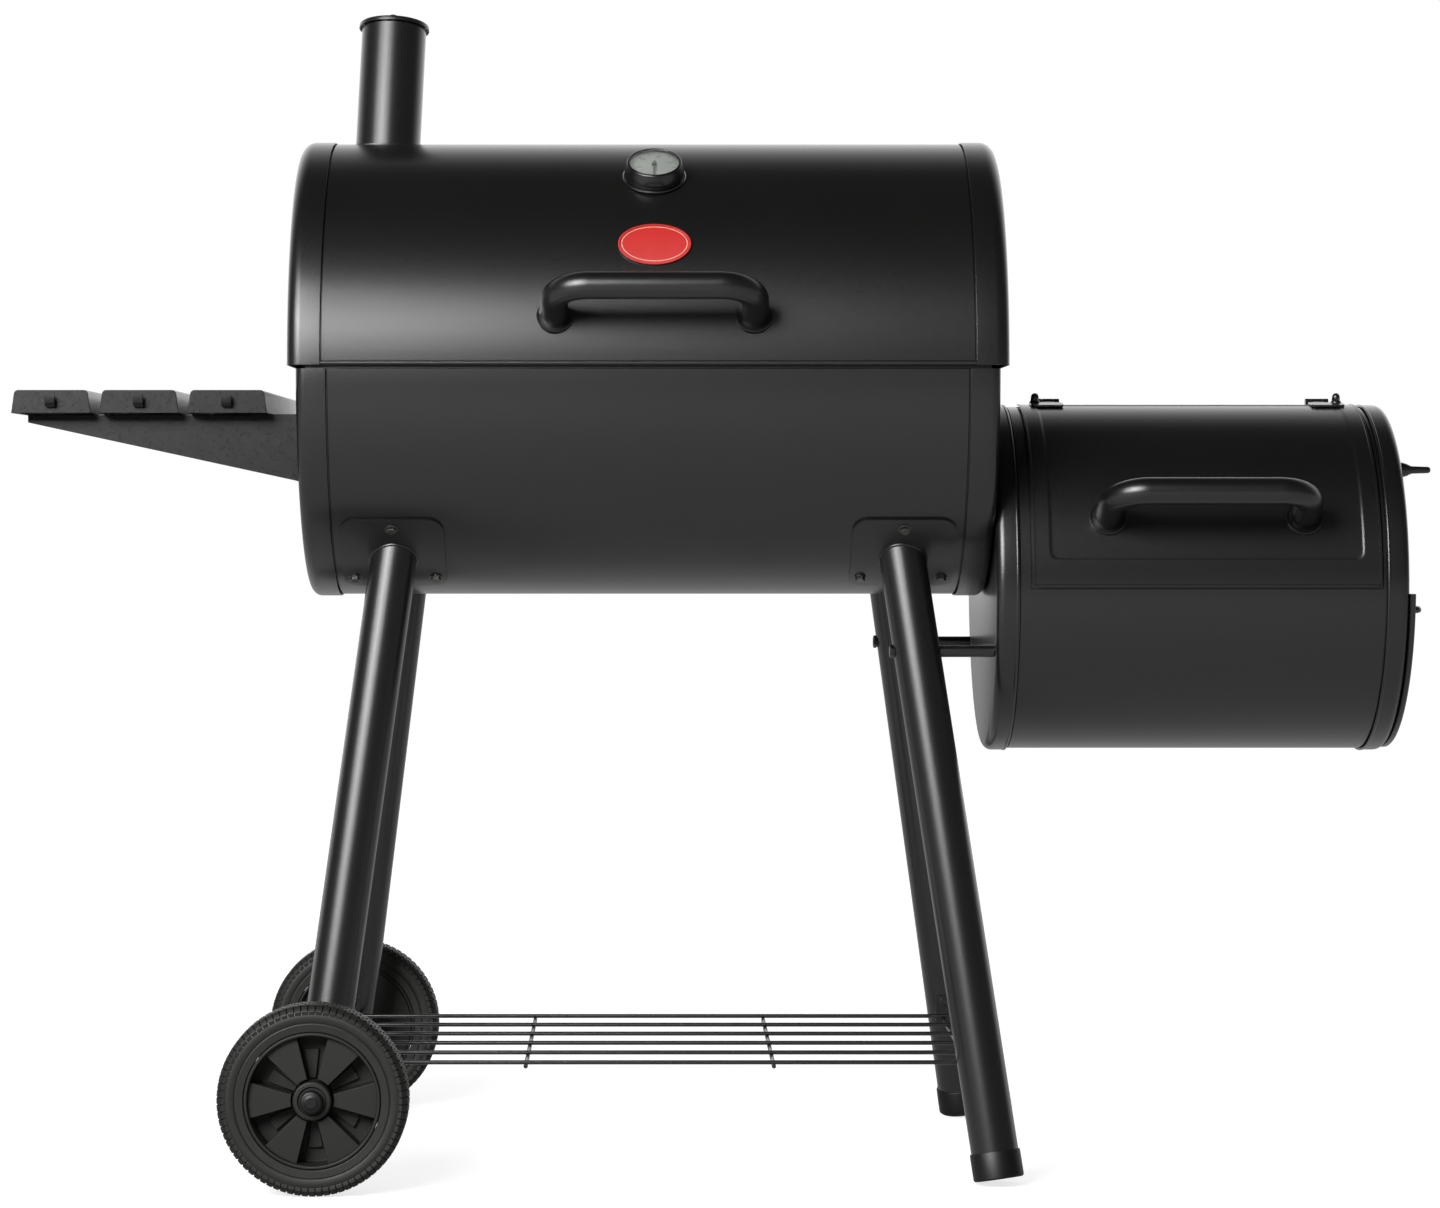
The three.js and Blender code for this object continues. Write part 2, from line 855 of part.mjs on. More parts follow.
function barrelHingeLeaf(x) {
  const axis = lidHingeAxis();
  const low = barrelRadius + gap;
  const start = -barrelLeafStart / low;
  const strip = sector(low, low + leafWall, -barrelLeafReach / low, start, barrelAxisHeight);
  const knuckle = lidHingeWidth / 6 + gap;
  const half = lidHingeWidth / 2;
  const web = polygon([
    [low * Math.cos(start), barrelAxisHeight + low * Math.sin(start)],
    [low + leafWall / 2, axis.z - barrelWebDrop],
    [axis.y + lidKnuckleRadius / 2, axis.z - barrelWebTop],
    [axis.y - lidKnuckleRadius / 2, axis.z - barrelWebTop],
  ]);
  const ears = [[-half, -knuckle], [knuckle, half]].flatMap(([from, to]) => [
    alongX(web, x + from, x + to),
    rod(lidKnuckleRadius, axis.clone().setX(x + from), axis.clone().setX(x + to)),
  ]);
  const pin = rod(lidPinRadius, axis.clone().setX(x - half), axis.clone().setX(x + half));
  return join(alongX(strip, x - half, x + half), ...ears, pin);
}

function doorHingeAxis() {
  return at(0, doorHingeBack, fireboxAxisHeight + fireboxRadius + doorHingeStand);
}

// side is -1 for the left hinge, whose tab points left, and 1 for the right one.
function doorHingeSpan(side) {
  const outer = side < 0 ? doorLeft + doorHingeInset : doorRight - doorHingeInset;
  const inner = outer - side * doorHingeWidth;
  return [Math.min(outer, inner), Math.max(outer, inner)];
}

function doorHingeLeaf(side) {
  const axis = doorHingeAxis();
  const [from, to] = doorHingeSpan(side);
  const low = doorOuterRadius + gap;
  const top = low + doorLeafWall;
  const end = 90 * degree - doorLeafFront / low;
  const strip = sector(low, top, end, end + doorLeafReach / low, fireboxAxisHeight);
  const quarter = (to - from) / 4;
  const left = from + quarter + gap;
  const right = to - quarter - gap;
  const web = polygon([
    [-doorLeafFront, fireboxAxisHeight + low],
    [axis.y - doorPinRadius, axis.z - doorKnuckleRadius / 2],
    [axis.y - doorPinRadius, axis.z + doorKnuckleRadius / 2],
    [-doorLeafFront, fireboxAxisHeight + top],
  ]);
  const stripFrom = side < 0 ? from - doorLeafTab : from;
  const stripTo = side < 0 ? to : to + doorLeafTab;
  const leaf = join(
    alongX(strip, stripFrom, stripTo),
    alongX(web, left, right),
    rod(doorKnuckleRadius, axis.clone().setX(left), axis.clone().setX(right)),
  );
  return cut(leaf, rod(doorPinRadius + gap, axis.clone().setX(from), axis.clone().setX(to)));
}

function fireboxHingeLeaf(side) {
  const axis = doorHingeAxis();
  const [from, to] = doorHingeSpan(side);
  const low = fireboxRadius + gap;
  const start = 90 * degree - (doorHingeBack + fixedLeafReach) / low;
  const end = 90 * degree - doorHingeBack / low;
  const strip = sector(low, low + doorLeafWall, start, end, fireboxAxisHeight);
  const quarter = (to - from) / 4;
  const ears = [[from, from + quarter], [to - quarter, to]].map(([left, right]) => (
    rod(doorKnuckleRadius, axis.clone().setX(left), axis.clone().setX(right))
  ));
  const pin = rod(doorPinRadius, axis.clone().setX(from), axis.clone().setX(to));
  const room = rod(doorKnuckleRadius + 2 * gap, axis.clone().setX(from + quarter),
    axis.clone().setX(to - quarter));
  return join(cut(alongX(strip, from, to), room), ...ears, pin);
}

// Grates
function slottedPlate(width, depth, low, wall, border, slots, rib, rows) {
  const top = low + wall;
  const plate = block(at(-width / 2, -depth / 2, low), at(width / 2, depth / 2, top));
  const pitch = (width - 2 * border + rib) / slots;
  const rowDepth = (depth - 2 * border - (rows - 1) * grateMidRib) / rows;
  const openings = [];
  for (let row = 0; row < rows; row += 1) {
    const front = -depth / 2 + border + row * (rowDepth + grateMidRib);
    for (let slot = 0; slot < slots; slot += 1) {
      const left = -width / 2 + border + slot * pitch;
      const nearCorner = at(left, front, low - overrun);
      const farCorner = at(left + pitch - rib, front + rowDepth, top + overrun);
      openings.push(block(nearCorner, farCorner));
    }
  }
  return cut(plate, ...openings);
}

// Half the width inside a drum at a depth below its axis, measured to the flats of its facets.
function chordAt(radius, drop) {
  const flat = radius * Math.cos(180 * degree / drumFacets);
  return Math.sqrt(flat ** 2 - drop ** 2);
}

function cookingGrate(index) {
  const room = barrelLength - 2 * barrelCorner - 2 * grateSlack;
  const width = room / grateCount - grateSlack;
  const inside = barrelRadius - skinWall;
  const depth = 2 * (chordAt(inside, grateDrop) - 2 * grateSlack);
  const low = barrelAxisHeight - grateDrop;
  const plate = slottedPlate(width, depth, low, grateWall, grateBorder, grateSlots, grateRib, 2);
  const x = (index - (grateCount - 1) / 2) * (width + grateSlack);
  return plate.translate(x, 0, 0);
}

function charcoalGrate() {
  const depth = 2 * (chordAt(barrelRadius - skinWall, ashGrateDrop) - gap * 2);
  const low = barrelAxisHeight - ashGrateDrop;
  return slottedPlate(ashGrateLength, depth, low, ashGrateWall, ashGrateBorder, ashGrateSlots,
    ashGrateRib, 2);
}

function fireboxGrate() {
  const width = fireboxLength - 2 * (fireboxCorner + fireGrateInset);
  const drop = fireGrateDrop + fireGrateWall;
  const depth = 2 * (chordAt(fireboxRadius - skinWall, drop) - gap * 2);
  const low = fireboxAxisHeight - drop;
  const plate = slottedPlate(width, depth, low, fireGrateWall, ashGrateBorder, fireGrateSlots,
    fireGrateRib, 2);
  return plate.translate((fireboxLeft + fireboxRight) / 2, 0, 0);
}

// Firebox
function doorOutline(inset) {
  const top = fireboxAxisHeight + fireboxRadius * 2;
  const bottom = fireboxAxisHeight - doorDrop + inset;
  return roundedRectangle(doorLeft + inset, doorRight - inset, bottom, top, doorCorner);
}

function fireboxSkin() {
  const from = fireboxAxis.clone().setX(fireboxLeft + fireboxCorner);
  const to = fireboxAxis.clone().setX(fireboxRight - fireboxCorner);
  const shell = pipe(fireboxRadius, fireboxRadius - skinWall, from, to);
  const opening = alongY(doorOutline(doorLap), -fireboxRadius * 2, -doorLap * 2);
  const runners = [-1, 1].map((side) => drawerRunner(side, from.x, to.x));
  return join(cut(shell, opening), ...runners);
}

// A strip under the drawer, fixed to the inside of the firebox.
function drawerRunner(side, from, to) {
  const low = drawerRadius + gap;
  const high = fireboxRadius - skinWall / 2;
  const half = runnerWidth / 2 / low;
  const middle = side * runnerAngle - 90 * degree;
  const outline = sector(low, high, middle - half, middle + half, fireboxAxisHeight);
  return alongX(outline, from, to, 1);
}

function fireboxLeftEnd() {
  const face = fireboxAxis.clone().setX(fireboxLeft);
  const cap = endCap(fireboxRadius, fireboxSkirt, fireboxCorner, face, -1);
  return cut(cap, smokePassage());
}

function ventHoles(from, to, turn) {
  return Array.from({ length: ventCount }, (_, i) => {
    const angle = turn + (i / ventCount) * 360 * degree;
    const y = damperY + ventOrbit * Math.cos(angle);
    const z = fireboxAxisHeight + damperRise + ventOrbit * Math.sin(angle);
    return rod(ventRadius, at(from, y, z), at(to, y, z), pinFacets);
  });
}

function fireboxRightEnd() {
  const face = fireboxAxis.clone().setX(fireboxRight);
  const cap = endCap(fireboxRadius, fireboxSkirt, fireboxCorner, face, 1);
  const from = fireboxRight - fireboxSkirt;
  const to = fireboxRight + overrun;
  const mouth = rod(drawerRadius + gap * 2, fireboxAxis.clone().setX(from),
    fireboxAxis.clone().setX(to), drumFacets);
  const below = halfSpace(fireboxAxisHeight - drawerTop + drawerClearance, false);
  const drawerHole = cut(mouth, below.translate(fireboxRight, 0, 0));
  const pivot = at(from, damperY, fireboxAxisHeight + damperRise);
  const rivetHole = rod(rivetRadius + gap * 2, pivot, pivot.clone().setX(to));
  return cut(cap, drawerHole, rivetHole, ...ventHoles(from, to, ventTurn));
}

// Air damper: a holed disc on a rivet through the end face, with a knob to turn it by.
function airDamper() {
  const height = fireboxAxisHeight + damperRise;
  const face = fireboxRight + gap;
  const top = face + damperWall;
  const plate = rod(damperRadius, at(face, damperY, height), at(top, damperY, height),
    roundFacets);
  const half = 180 * degree / ventCount;
  const holed = cut(plate, ...ventHoles(face - overrun, top + overrun, ventTurn + half));
  const inside = fireboxRight - (skirtProud - gap) - gap;
  const rivet = rod(rivetRadius, at(inside - rivetHead, damperY, height),
    at(top + rivetHead, damperY, height));
  const head = rod(rivetHeadRadius, at(inside - rivetHead, damperY, height),
    at(inside, damperY, height));
  const outerHead = rod(rivetHeadRadius, at(face, damperY, height),
    at(top + rivetHead, damperY, height));
  return join(holed, rivet, head, outerHead, damperKnob(face));
}

function damperKnob(face) {
  const y = damperY + knobOrbit * Math.cos(knobAngle);
  const z = fireboxAxisHeight + damperRise + knobOrbit * Math.sin(knobAngle);
  const pairs = [
    [0, 0],
    [knobBaseRadius, 0],
    [knobBaseRadius, knobBaseStraight],
    [knobNeckRadius, knobBaseDepth],
    [knobTipRadius, knobLength - knobTipRadius],
    [knobCrownRadius, knobLength - knobCrownDepth],
    [0, knobLength],
  ];
  return turned(pairs, at(face, y, z), at(1, 0, 0), pinFacets);
}

function fireboxDoor() {
  const from = fireboxAxis.clone().setX(doorLeft - overrun);
  const to = fireboxAxis.clone().setX(doorRight + overrun);
  const shell = pipe(doorOuterRadius, fireboxRadius + gap, from, to);
  const window = alongY(doorOutline(0), -doorOuterRadius * 2, doorBack);
  return common(shell, window);
}

// Ash drawer: a trough with closed ends, a front plate and a wire pull.
function ashDrawer() {
  const face = fireboxRight + gap;
  const back = face - drawerLength;
  const outside = rod(drawerRadius, fireboxAxis.clone().setX(back),
    fireboxAxis.clone().setX(face + drawerWall), drumFacets);
  const inside = rod(drawerRadius - drawerWall, fireboxAxis.clone().setX(back + drawerWall),
    fireboxAxis.clone().setX(face), drumFacets);
  const above = halfSpace(fireboxAxisHeight - drawerTop, false).translate(fireboxRight, 0, 0);
  const trough = cut(outside, inside, above);
  const plate = rod(drawerFrontRadius, fireboxAxis.clone().setX(face),
    fireboxAxis.clone().setX(face + drawerFrontWall), drumFacets);
  const plateTop = halfSpace(fireboxAxisHeight - drawerFrontTop, false).translate(fireboxRight, 0, 0);
  return join(cut(plate, plateTop), trough, drawerPull(face + drawerFrontWall / 2));
}

function drawerPull(face) {
  const height = fireboxAxisHeight - pullDrop;
  const half = pullWidth / 2;
  const tip = face + drawerFrontWall / 2 + pullReach - pullRadius;
  const corners = [
    at(face, -half, height),
    at(tip, -half, height),
    at(tip, half, height),
    at(face, half, height),
  ];
  return bentBar(corners, pullBend, pullRadius, wireFacets);
}

// Legs
function legLine(sideX, sideY) {
  const top = at(sideX * legTopX, sideY * legTopY, legTopHeight);
  if (sideX < 0) {
    const hub = at(-axleX, sideY * axleY, wheelRadius);
    const up = top.clone().sub(hub).normalize();
    return { bottom: hub.addScaledVector(up, -legTail), up };
  }
  const slope = Math.hypot(footX - legTopX, footY - legTopY) / legTopHeight;
  const lift = footRadius * slope / Math.hypot(1, slope);
  const bottom = at(footX, sideY * footY, lift);
  return { bottom, up: top.sub(bottom).normalize() };
}

function legPoint(sideX, sideY, height) {
  const { bottom, up } = legLine(sideX, sideY);
  return bottom.clone().addScaledVector(up, (height - bottom.z) / up.z);
}

// A leg tube, cut to the barrel and welded to its saddle plate.
function leg(sideX, sideY) {
  const { bottom, up } = legLine(sideX, sideY);
  const start = sideX < 0 ? 0 : footFloor + gap;
  const from = bottom.clone().addScaledVector(up, start);
  const to = legPoint(sideX, sideY, barrelAxisHeight - barrelRadius / 2);
  const tube = pipe(legRadius, legRadius - legWall, from, to, tubeFacets);
  const seat = barrelRadius + gap + saddleWall / 2;
  const half = barrelLength / 2;
  const drum = rod(seat, barrelAxis.clone().setX(-half), barrelAxis.clone().setX(half), drumFacets);
  const saddle = saddlePlate(sideX, sideY);
  const whole = join(cut(tube, drum), saddle);
  return sideX < 0 ? cut(whole, axleBore()) : cut(whole, braceBore(sideY));
}

function saddlePlate(sideX, sideY) {
  const outline = roundedRectangle(-saddleWidth / 2, saddleWidth / 2, -saddleHeight / 2,
    saddleHeight / 2, saddleCorner);
  const elevation = sideY < 0 ? -saddleElevation : -(180 * degree - saddleElevation);
  const low = barrelRadius + gap;
  return drumPlate(outline, barrelAxis, sideX * legTopX, elevation, low, low + saddleWall,
    saddleWidth);
}

function axleBore() {
  const end = axleY + legRadius * 2;
  return rod(axleRadius + gap, at(-axleX, -end, wheelRadius), at(-axleX, end, wheelRadius));
}

function braceBore(sideY) {
  const middle = legPoint(1, sideY, braceHeight);
  const reach = legRadius * 2;
  return rod(braceRadius + gap, middle.clone().setX(middle.x - reach),
    middle.clone().setX(middle.x + reach));
}

function brace(sideY) {
  const middle = legPoint(1, sideY, braceHeight);
  const head = middle.x - legRadius - braceHeadStand;
  const shank = rod(braceRadius, middle.clone().setX(head), middle.clone().setX(fireboxLeft - gap));
  const cap = rod(braceHeadRadius, middle.clone().setX(head - braceHead), middle.clone().setX(head));
  return join(shank, cap);
}

function footCap(sideY) {
  const { bottom, up } = legLine(1, sideY);
  const bore = legRadius + gap;
  const pairs = [
    [0, 0],
    [footRadius, 0],
    [footRadius, footHeight],
    [bore, footHeight],
    [bore, footFloor],
    [0, footFloor],
  ];
  return turned(pairs, bottom, up, tubeFacets);
}

// Axle, spacers and end caps
function axle() {
  const end = wheelMiddle + wheelWidth / 2 + axleCapDepth / 2;
  return rod(axleRadius, at(-axleX, -end, wheelRadius), at(-axleX, end, wheelRadius));
}

function axleSpacer(side) {
  const lean = (footY - legTopY) / legTopHeight;
  const inner = axleY + legRadius * Math.hypot(1, lean) + (spacerRadius + legWall) * lean;
  const outer = wheelMiddle - wheelWidth / 2 - gap;
  return pipe(spacerRadius, axleRadius + gap, at(-axleX, side * inner, wheelRadius),
    at(-axleX, side * outer, wheelRadius), pinFacets);
}

function axleCap(side) {
  const face = wheelMiddle + wheelWidth / 2 + gap;
  const bore = axleRadius + gap;
  const floor = axleCapDepth / 2 + gap;
  const pairs = [
    [bore, 0],
    [axleCapRadius, 0],
    [axleCapRadius, axleCapDepth - axleCapDome],
    [axleCapRadius - axleCapDome, axleCapDepth],
    [0, axleCapDepth],
    [0, floor],
    [bore, floor],
  ];
  return turnedLoop(pairs, at(-axleX, side * face, wheelRadius), at(0, side, 0), pinFacets);
}

// A profile that touches the axis along one edge only.
function turnedLoop(pairs, base, direction, facets) {
  const start = pairs.findIndex(([radius], i) => radius === 0 && pairs[i - 1][0] === 0);
  const ordered = [...pairs.slice(start), ...pairs.slice(0, start)];
  return turned(ordered, base, direction, facets);
}

// Wheels. Their profiles are about the axle, with along running outwards from the middle.
function tyre(side) {
  const half = wheelWidth / 2;
  const seat = rimRadius + gap;
  const pairs = [
    [seat, -half + rimDip],
    [beadRadius, -half + rimDip],
    [beadRadius + sidewallDip, -half],
    [wheelRadius - tyreShoulder, -half],
    [wheelRadius, -half + tyreShoulder],
    [wheelRadius, half - tyreShoulder],
    [wheelRadius - tyreShoulder, half],
    [beadRadius + sidewallDip, half],
    [beadRadius, half - rimDip],
    [seat, half - rimDip],
  ];
  return turned(pairs, at(-axleX, side * wheelMiddle, wheelRadius), at(0, side, 0), wheelFacets);
}

function wheelRim(side) {
  const half = wheelWidth / 2;
  const edge = half - rimDip;
  const inner = rimRadius - rimWall;
  const pairs = [
    [axleRadius + gap, -half],
    [hubRadius, -half],
    [hubRadius, -webBack],
    [inner, -webBack],
    [rimRadius, -edge],
    [rimRadius, edge],
    [inner, edge],
    [inner, webFace],
    [hubRadius, webFace],
    [hubRadius, half],
    [axleRadius + gap, half],
  ];
  const base = at(-axleX, side * wheelMiddle, wheelRadius);
  const disc = turned(pairs, base, at(0, side, 0), wheelFacets);
  const pockets = Array.from({ length: spokeCount }, (_, i) => {
    const middle = ((i + 0.5) / spokeCount) * 360 * degree + 90 * degree;
    return pocket(side, middle);
  });
  return cut(disc, ...pockets);
}

function pocket(side, middle) {
  const outline = new THREE.Shape();
  const half = pocketAngle / 2;
  outline.absarc(0, 0, pocketOuter, middle - half, middle + half, false);
  outline.absarc(0, 0, pocketInner, middle + half, middle - half, true);
  const floor = webFace - pocketDepth;
  const base = at(-axleX, side * (wheelMiddle + floor), wheelRadius);
  const across = at(-side, 0, 0);
  return extruded(outline, pocketDepth + overrun, base, across, at(0, 0, 1), cornerFacets);
}

// Wire shelf: long wires welded on cross wires, with a tab at each leg.
function wireShelf() {
  const wireHalfDepth = shelfTabFace() - wireEdgeInset;
  const leftLeg = Math.abs(legPoint(-1, 1, wireHeight).x);
  const rightLeg = legPoint(1, 1, wireHeight).x;
  const wireHalfLength = Math.min(leftLeg, rightLeg) + wireEndInset;
  const longWires = Array.from({ length: wireCount }, (_, i) => {
    const y = wireHalfDepth * (2 * i / (wireCount - 1) - 1);
    return rod(wireRadius, at(-wireHalfLength, y, wireHeight), at(wireHalfLength, y, wireHeight),
      wireFacets);
  });
  const end = wireHalfLength - endWireInset;
  const offset = crossWireShare * wireHalfLength;
  const spots = [-end, crossWireMiddle - offset, crossWireMiddle + offset, end];
  const low = wireHeight - 2 * wireRadius * weldShare;
  const depth = shelfTabFace();
  const crossWires = spots.map((x) => (
    rod(wireRadius, at(x, -depth, low), at(x, depth, low), wireFacets)
  ));
  const tabs = [-1, 1].flatMap((sideX) => [-1, 1].map((sideY) => shelfTab(sideX * end, sideY)));
  return join(longWires[0], ...longWires.slice(1), ...crossWires, ...tabs);
}

function shelfTabFace() {
  const left = Math.abs(legPoint(-1, 1, tabTop).y);
  const right = Math.abs(legPoint(1, 1, tabTop).y);
  const lean = (footY - legTopY) / legTopHeight;
  return Math.min(left, right) - legRadius * Math.hypot(1, lean) - gap;
}

function shelfTab(x, sideY) {
  const face = shelfTabFace();
  const near = sideY * (face - tabWall);
  const far = sideY * face;
  return block(at(x - tabWidth / 2, Math.min(near, far), tabBottom),
    at(x + tabWidth / 2, Math.max(near, far), tabTop));
}

// Slatted shelf: folded slats on two tapered brackets
function slatMiddle(index) {
  const inner = -barrelLength / 2 - shelfClearance - slatBottomWidth / 2;
  return inner - (slatCount - 1 - index) * slatPitch;
}

function slatOutline(inset, bottom) {
  const low = shelfTop - slatHeight;
  const top = shelfTop - inset;
  const base = slatBottomWidth / 2 - inset;
  const crown = slatTopWidth / 2 - inset;
  const corner = slatCorner - inset;
  const outline = new THREE.Shape();
  outline.moveTo(-base, low - bottom);
  outline.lineTo(base, low - bottom);
  outline.lineTo(crown + corner / 2, top - corner);
  outline.quadraticCurveTo(crown, top, crown - corner, top);
  outline.lineTo(corner - crown, top);
  outline.quadraticCurveTo(-crown, top, -crown - corner / 2, top - corner);
  return outline;
}

function slat(index) {
  const x = slatMiddle(index);
  const half = slatLength / 2;
  const outside = alongY(slatOutline(0, 0), -half, half, cornerFacets);
  const inside = alongY(slatOutline(slatWall, overrun), -half + slatWall, half - slatWall,
    cornerFacets);
  return join(cut(outside, inside), slatHook()).translate(x, 0, 0);
}

// A tool hook bent out of the front wall of a slat.
function slatHook() {
  const front = -slatLength / 2;
  const low = shelfTop - hookDrop;
  const half = hookWidth / 2;
  const arm = block(at(-half, front - hookReach, low), at(half, front + slatWall / 2, low + hookWall));
  const tongue = block(at(-half, front - hookReach, low),
    at(half, front - hookReach + hookWall, low + hookHeight));
  return join(arm, tongue);
}

// A bracket: a tapered web with a flange under the slats and one on the barrel end.
function shelfBracket(side) {
  const root = -barrelLength / 2 - gap;
  const tip = slatMiddle(0) - slatBottomWidth / 2 + bracketInset;
  const top = shelfTop - slatHeight - gap;
  const web = polygon([[tip, top], [tip, top - bracketTip], [root, top - bracketDepth], [root, top]]);
  const outer = side * bracketY;
  const inner = side * (bracketY - bracketWall);
  const fold = side * (bracketY - bracketFlange);
  const plate = alongY(web, Math.min(outer, inner), Math.max(outer, inner));
  const low = Math.min(outer, fold);
  const high = Math.max(outer, fold);
  const topFlange = block(at(tip, low, top - bracketWall), at(root, high, top));
  const rootFlange = block(at(root - bracketWall, low, top - bracketDepth), at(root, high, top));
  return join(plate, topFlange, rootFlange);
}

// Assembly
const sides = [['left', -1], ['right', 1]];
const ends = [['front', -1], ['rear', 1]];

piece(smoker, 'barrel_skin', barrelSkin(), blackPaint);
for (const [name, side] of sides) {
  piece(smoker, `barrel_end_${name}`, barrelEnd(side), blackPaint);
  const x = side * lidHingeSpacing / 2;
  piece(smoker, `barrel_hinge_leaf_${name}`, barrelHingeLeaf(x), blackPaint);
}
for (let i = 0; i < grateCount; i += 1) {
  piece(smoker, `cooking_grate_${i + 1}`, cookingGrate(i), castIron);
}
piece(smoker, 'charcoal_grate', charcoalGrate(), steelSheet);

piece(smoker, 'firebox_skin', fireboxSkin(), blackPaint);
piece(smoker, 'firebox_end_left', fireboxLeftEnd(), blackPaint);
piece(smoker, 'firebox_end_right', fireboxRightEnd(), blackPaint);
piece(smoker, 'firebox_grate', fireboxGrate(), castIron);

for (const [end, sideY] of ends) {
  piece(smoker, `leg_${end}_left`, leg(-1, sideY), blackPaint);
  piece(smoker, `leg_${end}_right`, leg(1, sideY), blackPaint);
  piece(smoker, `foot_cap_${end}`, footCap(sideY), capPlastic);
  piece(smoker, `brace_${end}`, brace(sideY), blackPaint);
  piece(smoker, `axle_spacer_${end}`, axleSpacer(sideY), zinc);
  piece(smoker, `axle_cap_${end}`, axleCap(sideY), capPlastic);
  piece(smoker, `shelf_bracket_${end}`, shelfBracket(sideY), blackPaint);
}
piece(smoker, 'axle', axle(), zinc);
piece(smoker, 'wire_shelf', wireShelf(), blackPaint);
for (let i = 0; i < slatCount; i += 1) {
  piece(smoker, `shelf_slat_${i + 1}`, slat(i), blackPaint);
}

const lid = body('lid', lidHingeAxis());
piece(lid, 'lid_skin', lidSkin(), blackPaint);
for (const [name, side] of sides) {
  piece(lid, `lid_end_${name}`, lidEnd(side), blackPaint);
  piece(lid, `lid_hinge_leaf_${name}`, lidHingeLeaf(side * lidHingeSpacing / 2), blackPaint);
}
piece(lid, 'lid_handle', barHandle(lidFeatureX, barrelAxis, lidRadius, lidHandleElevation),
  handlePaint);
piece(lid, 'thermometer_case', thermometerCase(), chrome);
piece(lid, 'thermometer_dial', thermometerDial(), dialWhite);
piece(lid, 'thermometer_lens', thermometerLens(), glass);
piece(lid, 'badge_plate', badgePlate(), badgeRed);
piece(lid, 'chimney_tube', chimneyTube(), blackPaint);
piece(lid, 'chimney_flange', chimneyFlange(), blackPaint);
piece(lid, 'chimney_cap_screw', capScrew(), blackPaint);

const needle = body('needle', thermometerPoint(dialFloor), lid);
piece(needle, 'thermometer_needle', thermometerNeedle(), needleRed);

const chimneyCover = body('chimney_cover', capScrewSeat(chimneyFrame().direction)(chimneyHeight), lid);
piece(chimneyCover, 'chimney_cap', chimneyCap(), blackPaint);

const door = body('door', doorHingeAxis());
piece(door, 'firebox_door', fireboxDoor(), blackPaint);
piece(door, 'firebox_door_handle',
  barHandle(doorMiddle, fireboxAxis, doorOuterRadius, doorHandleElevation), handlePaint);
for (const [name, side] of sides) {
  piece(door, `door_hinge_leaf_${name}`, doorHingeLeaf(side), blackPaint);
  piece(smoker, `firebox_hinge_leaf_${name}`, fireboxHingeLeaf(side), blackPaint);
}

const drawer = body('drawer', fireboxAxis.clone().setX(fireboxRight));
piece(drawer, 'ash_drawer', ashDrawer(), blackPaint);

const damper = body('damper', at(fireboxRight, damperY, fireboxAxisHeight + damperRise));
piece(damper, 'air_damper', airDamper(), blackPaint);

for (const [end, side] of ends) {
  const wheel = body(`wheel_${end}`, at(-axleX, side * wheelMiddle, wheelRadius));
  piece(wheel, `tyre_${end}`, tyre(side), darkRubber);
  piece(wheel, `wheel_rim_${end}`, wheelRim(side), wheelPlastic);
}

// The origin is at the middle of the footprint, on the ground.
smoker.updateMatrixWorld(true);
const box = new THREE.Box3().setFromObject(smoker, true);
smoker.position.set(-(box.min.x + box.max.x) / 2, -(box.min.y + box.max.y) / 2, -box.min.z);

export default smoker;
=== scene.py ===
# Offset smoker: satin black drums on four tube legs, with a slatted shelf, wheels and a wire shelf.
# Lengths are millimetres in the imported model's frame; finished meshes are turned to metres.

import math

import bmesh
import bpy
from mathutils import Matrix, Vector


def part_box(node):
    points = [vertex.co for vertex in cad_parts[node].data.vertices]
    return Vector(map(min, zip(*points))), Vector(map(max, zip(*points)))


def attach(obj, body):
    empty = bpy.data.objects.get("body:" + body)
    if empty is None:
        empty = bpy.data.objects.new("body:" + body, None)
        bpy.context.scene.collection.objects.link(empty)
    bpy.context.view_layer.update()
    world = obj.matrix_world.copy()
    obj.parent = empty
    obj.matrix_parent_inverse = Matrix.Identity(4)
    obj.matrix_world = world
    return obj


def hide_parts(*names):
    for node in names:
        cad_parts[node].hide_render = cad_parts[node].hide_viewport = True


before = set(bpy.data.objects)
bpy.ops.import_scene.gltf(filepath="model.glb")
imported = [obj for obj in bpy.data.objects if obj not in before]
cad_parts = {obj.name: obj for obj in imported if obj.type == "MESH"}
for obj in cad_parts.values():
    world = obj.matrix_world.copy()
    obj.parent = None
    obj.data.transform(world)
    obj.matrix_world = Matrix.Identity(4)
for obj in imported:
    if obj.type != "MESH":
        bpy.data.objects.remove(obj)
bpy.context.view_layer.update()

# Barrel skin
# The lower half of the barrel: sheet steel rolled round, with two pressed ledges on each side
# for the grates, and powder coated satin black.
METRE = 0.001
BARREL_RADIUS = 222.5
BARREL_HALF = 333.0
BARREL_Z = 775.0
BARREL_SKIRT = 28.6
CORNER = 9.0
SKIN_WALL = 1.6
GAP = 0.3
ROLL_STEP = 2.5
EDGE = 0.4
SHARP = math.radians(32)


def linear(code):
    """An sRGB hex colour as the linear colour that shaders read."""
    parts = [int(code[i:i + 2], 16) / 255 for i in (1, 3, 5)]
    return (*[c / 12.92 if c <= 0.04045 else ((c + 0.055) / 1.055) ** 2.4 for c in parts], 1.0)


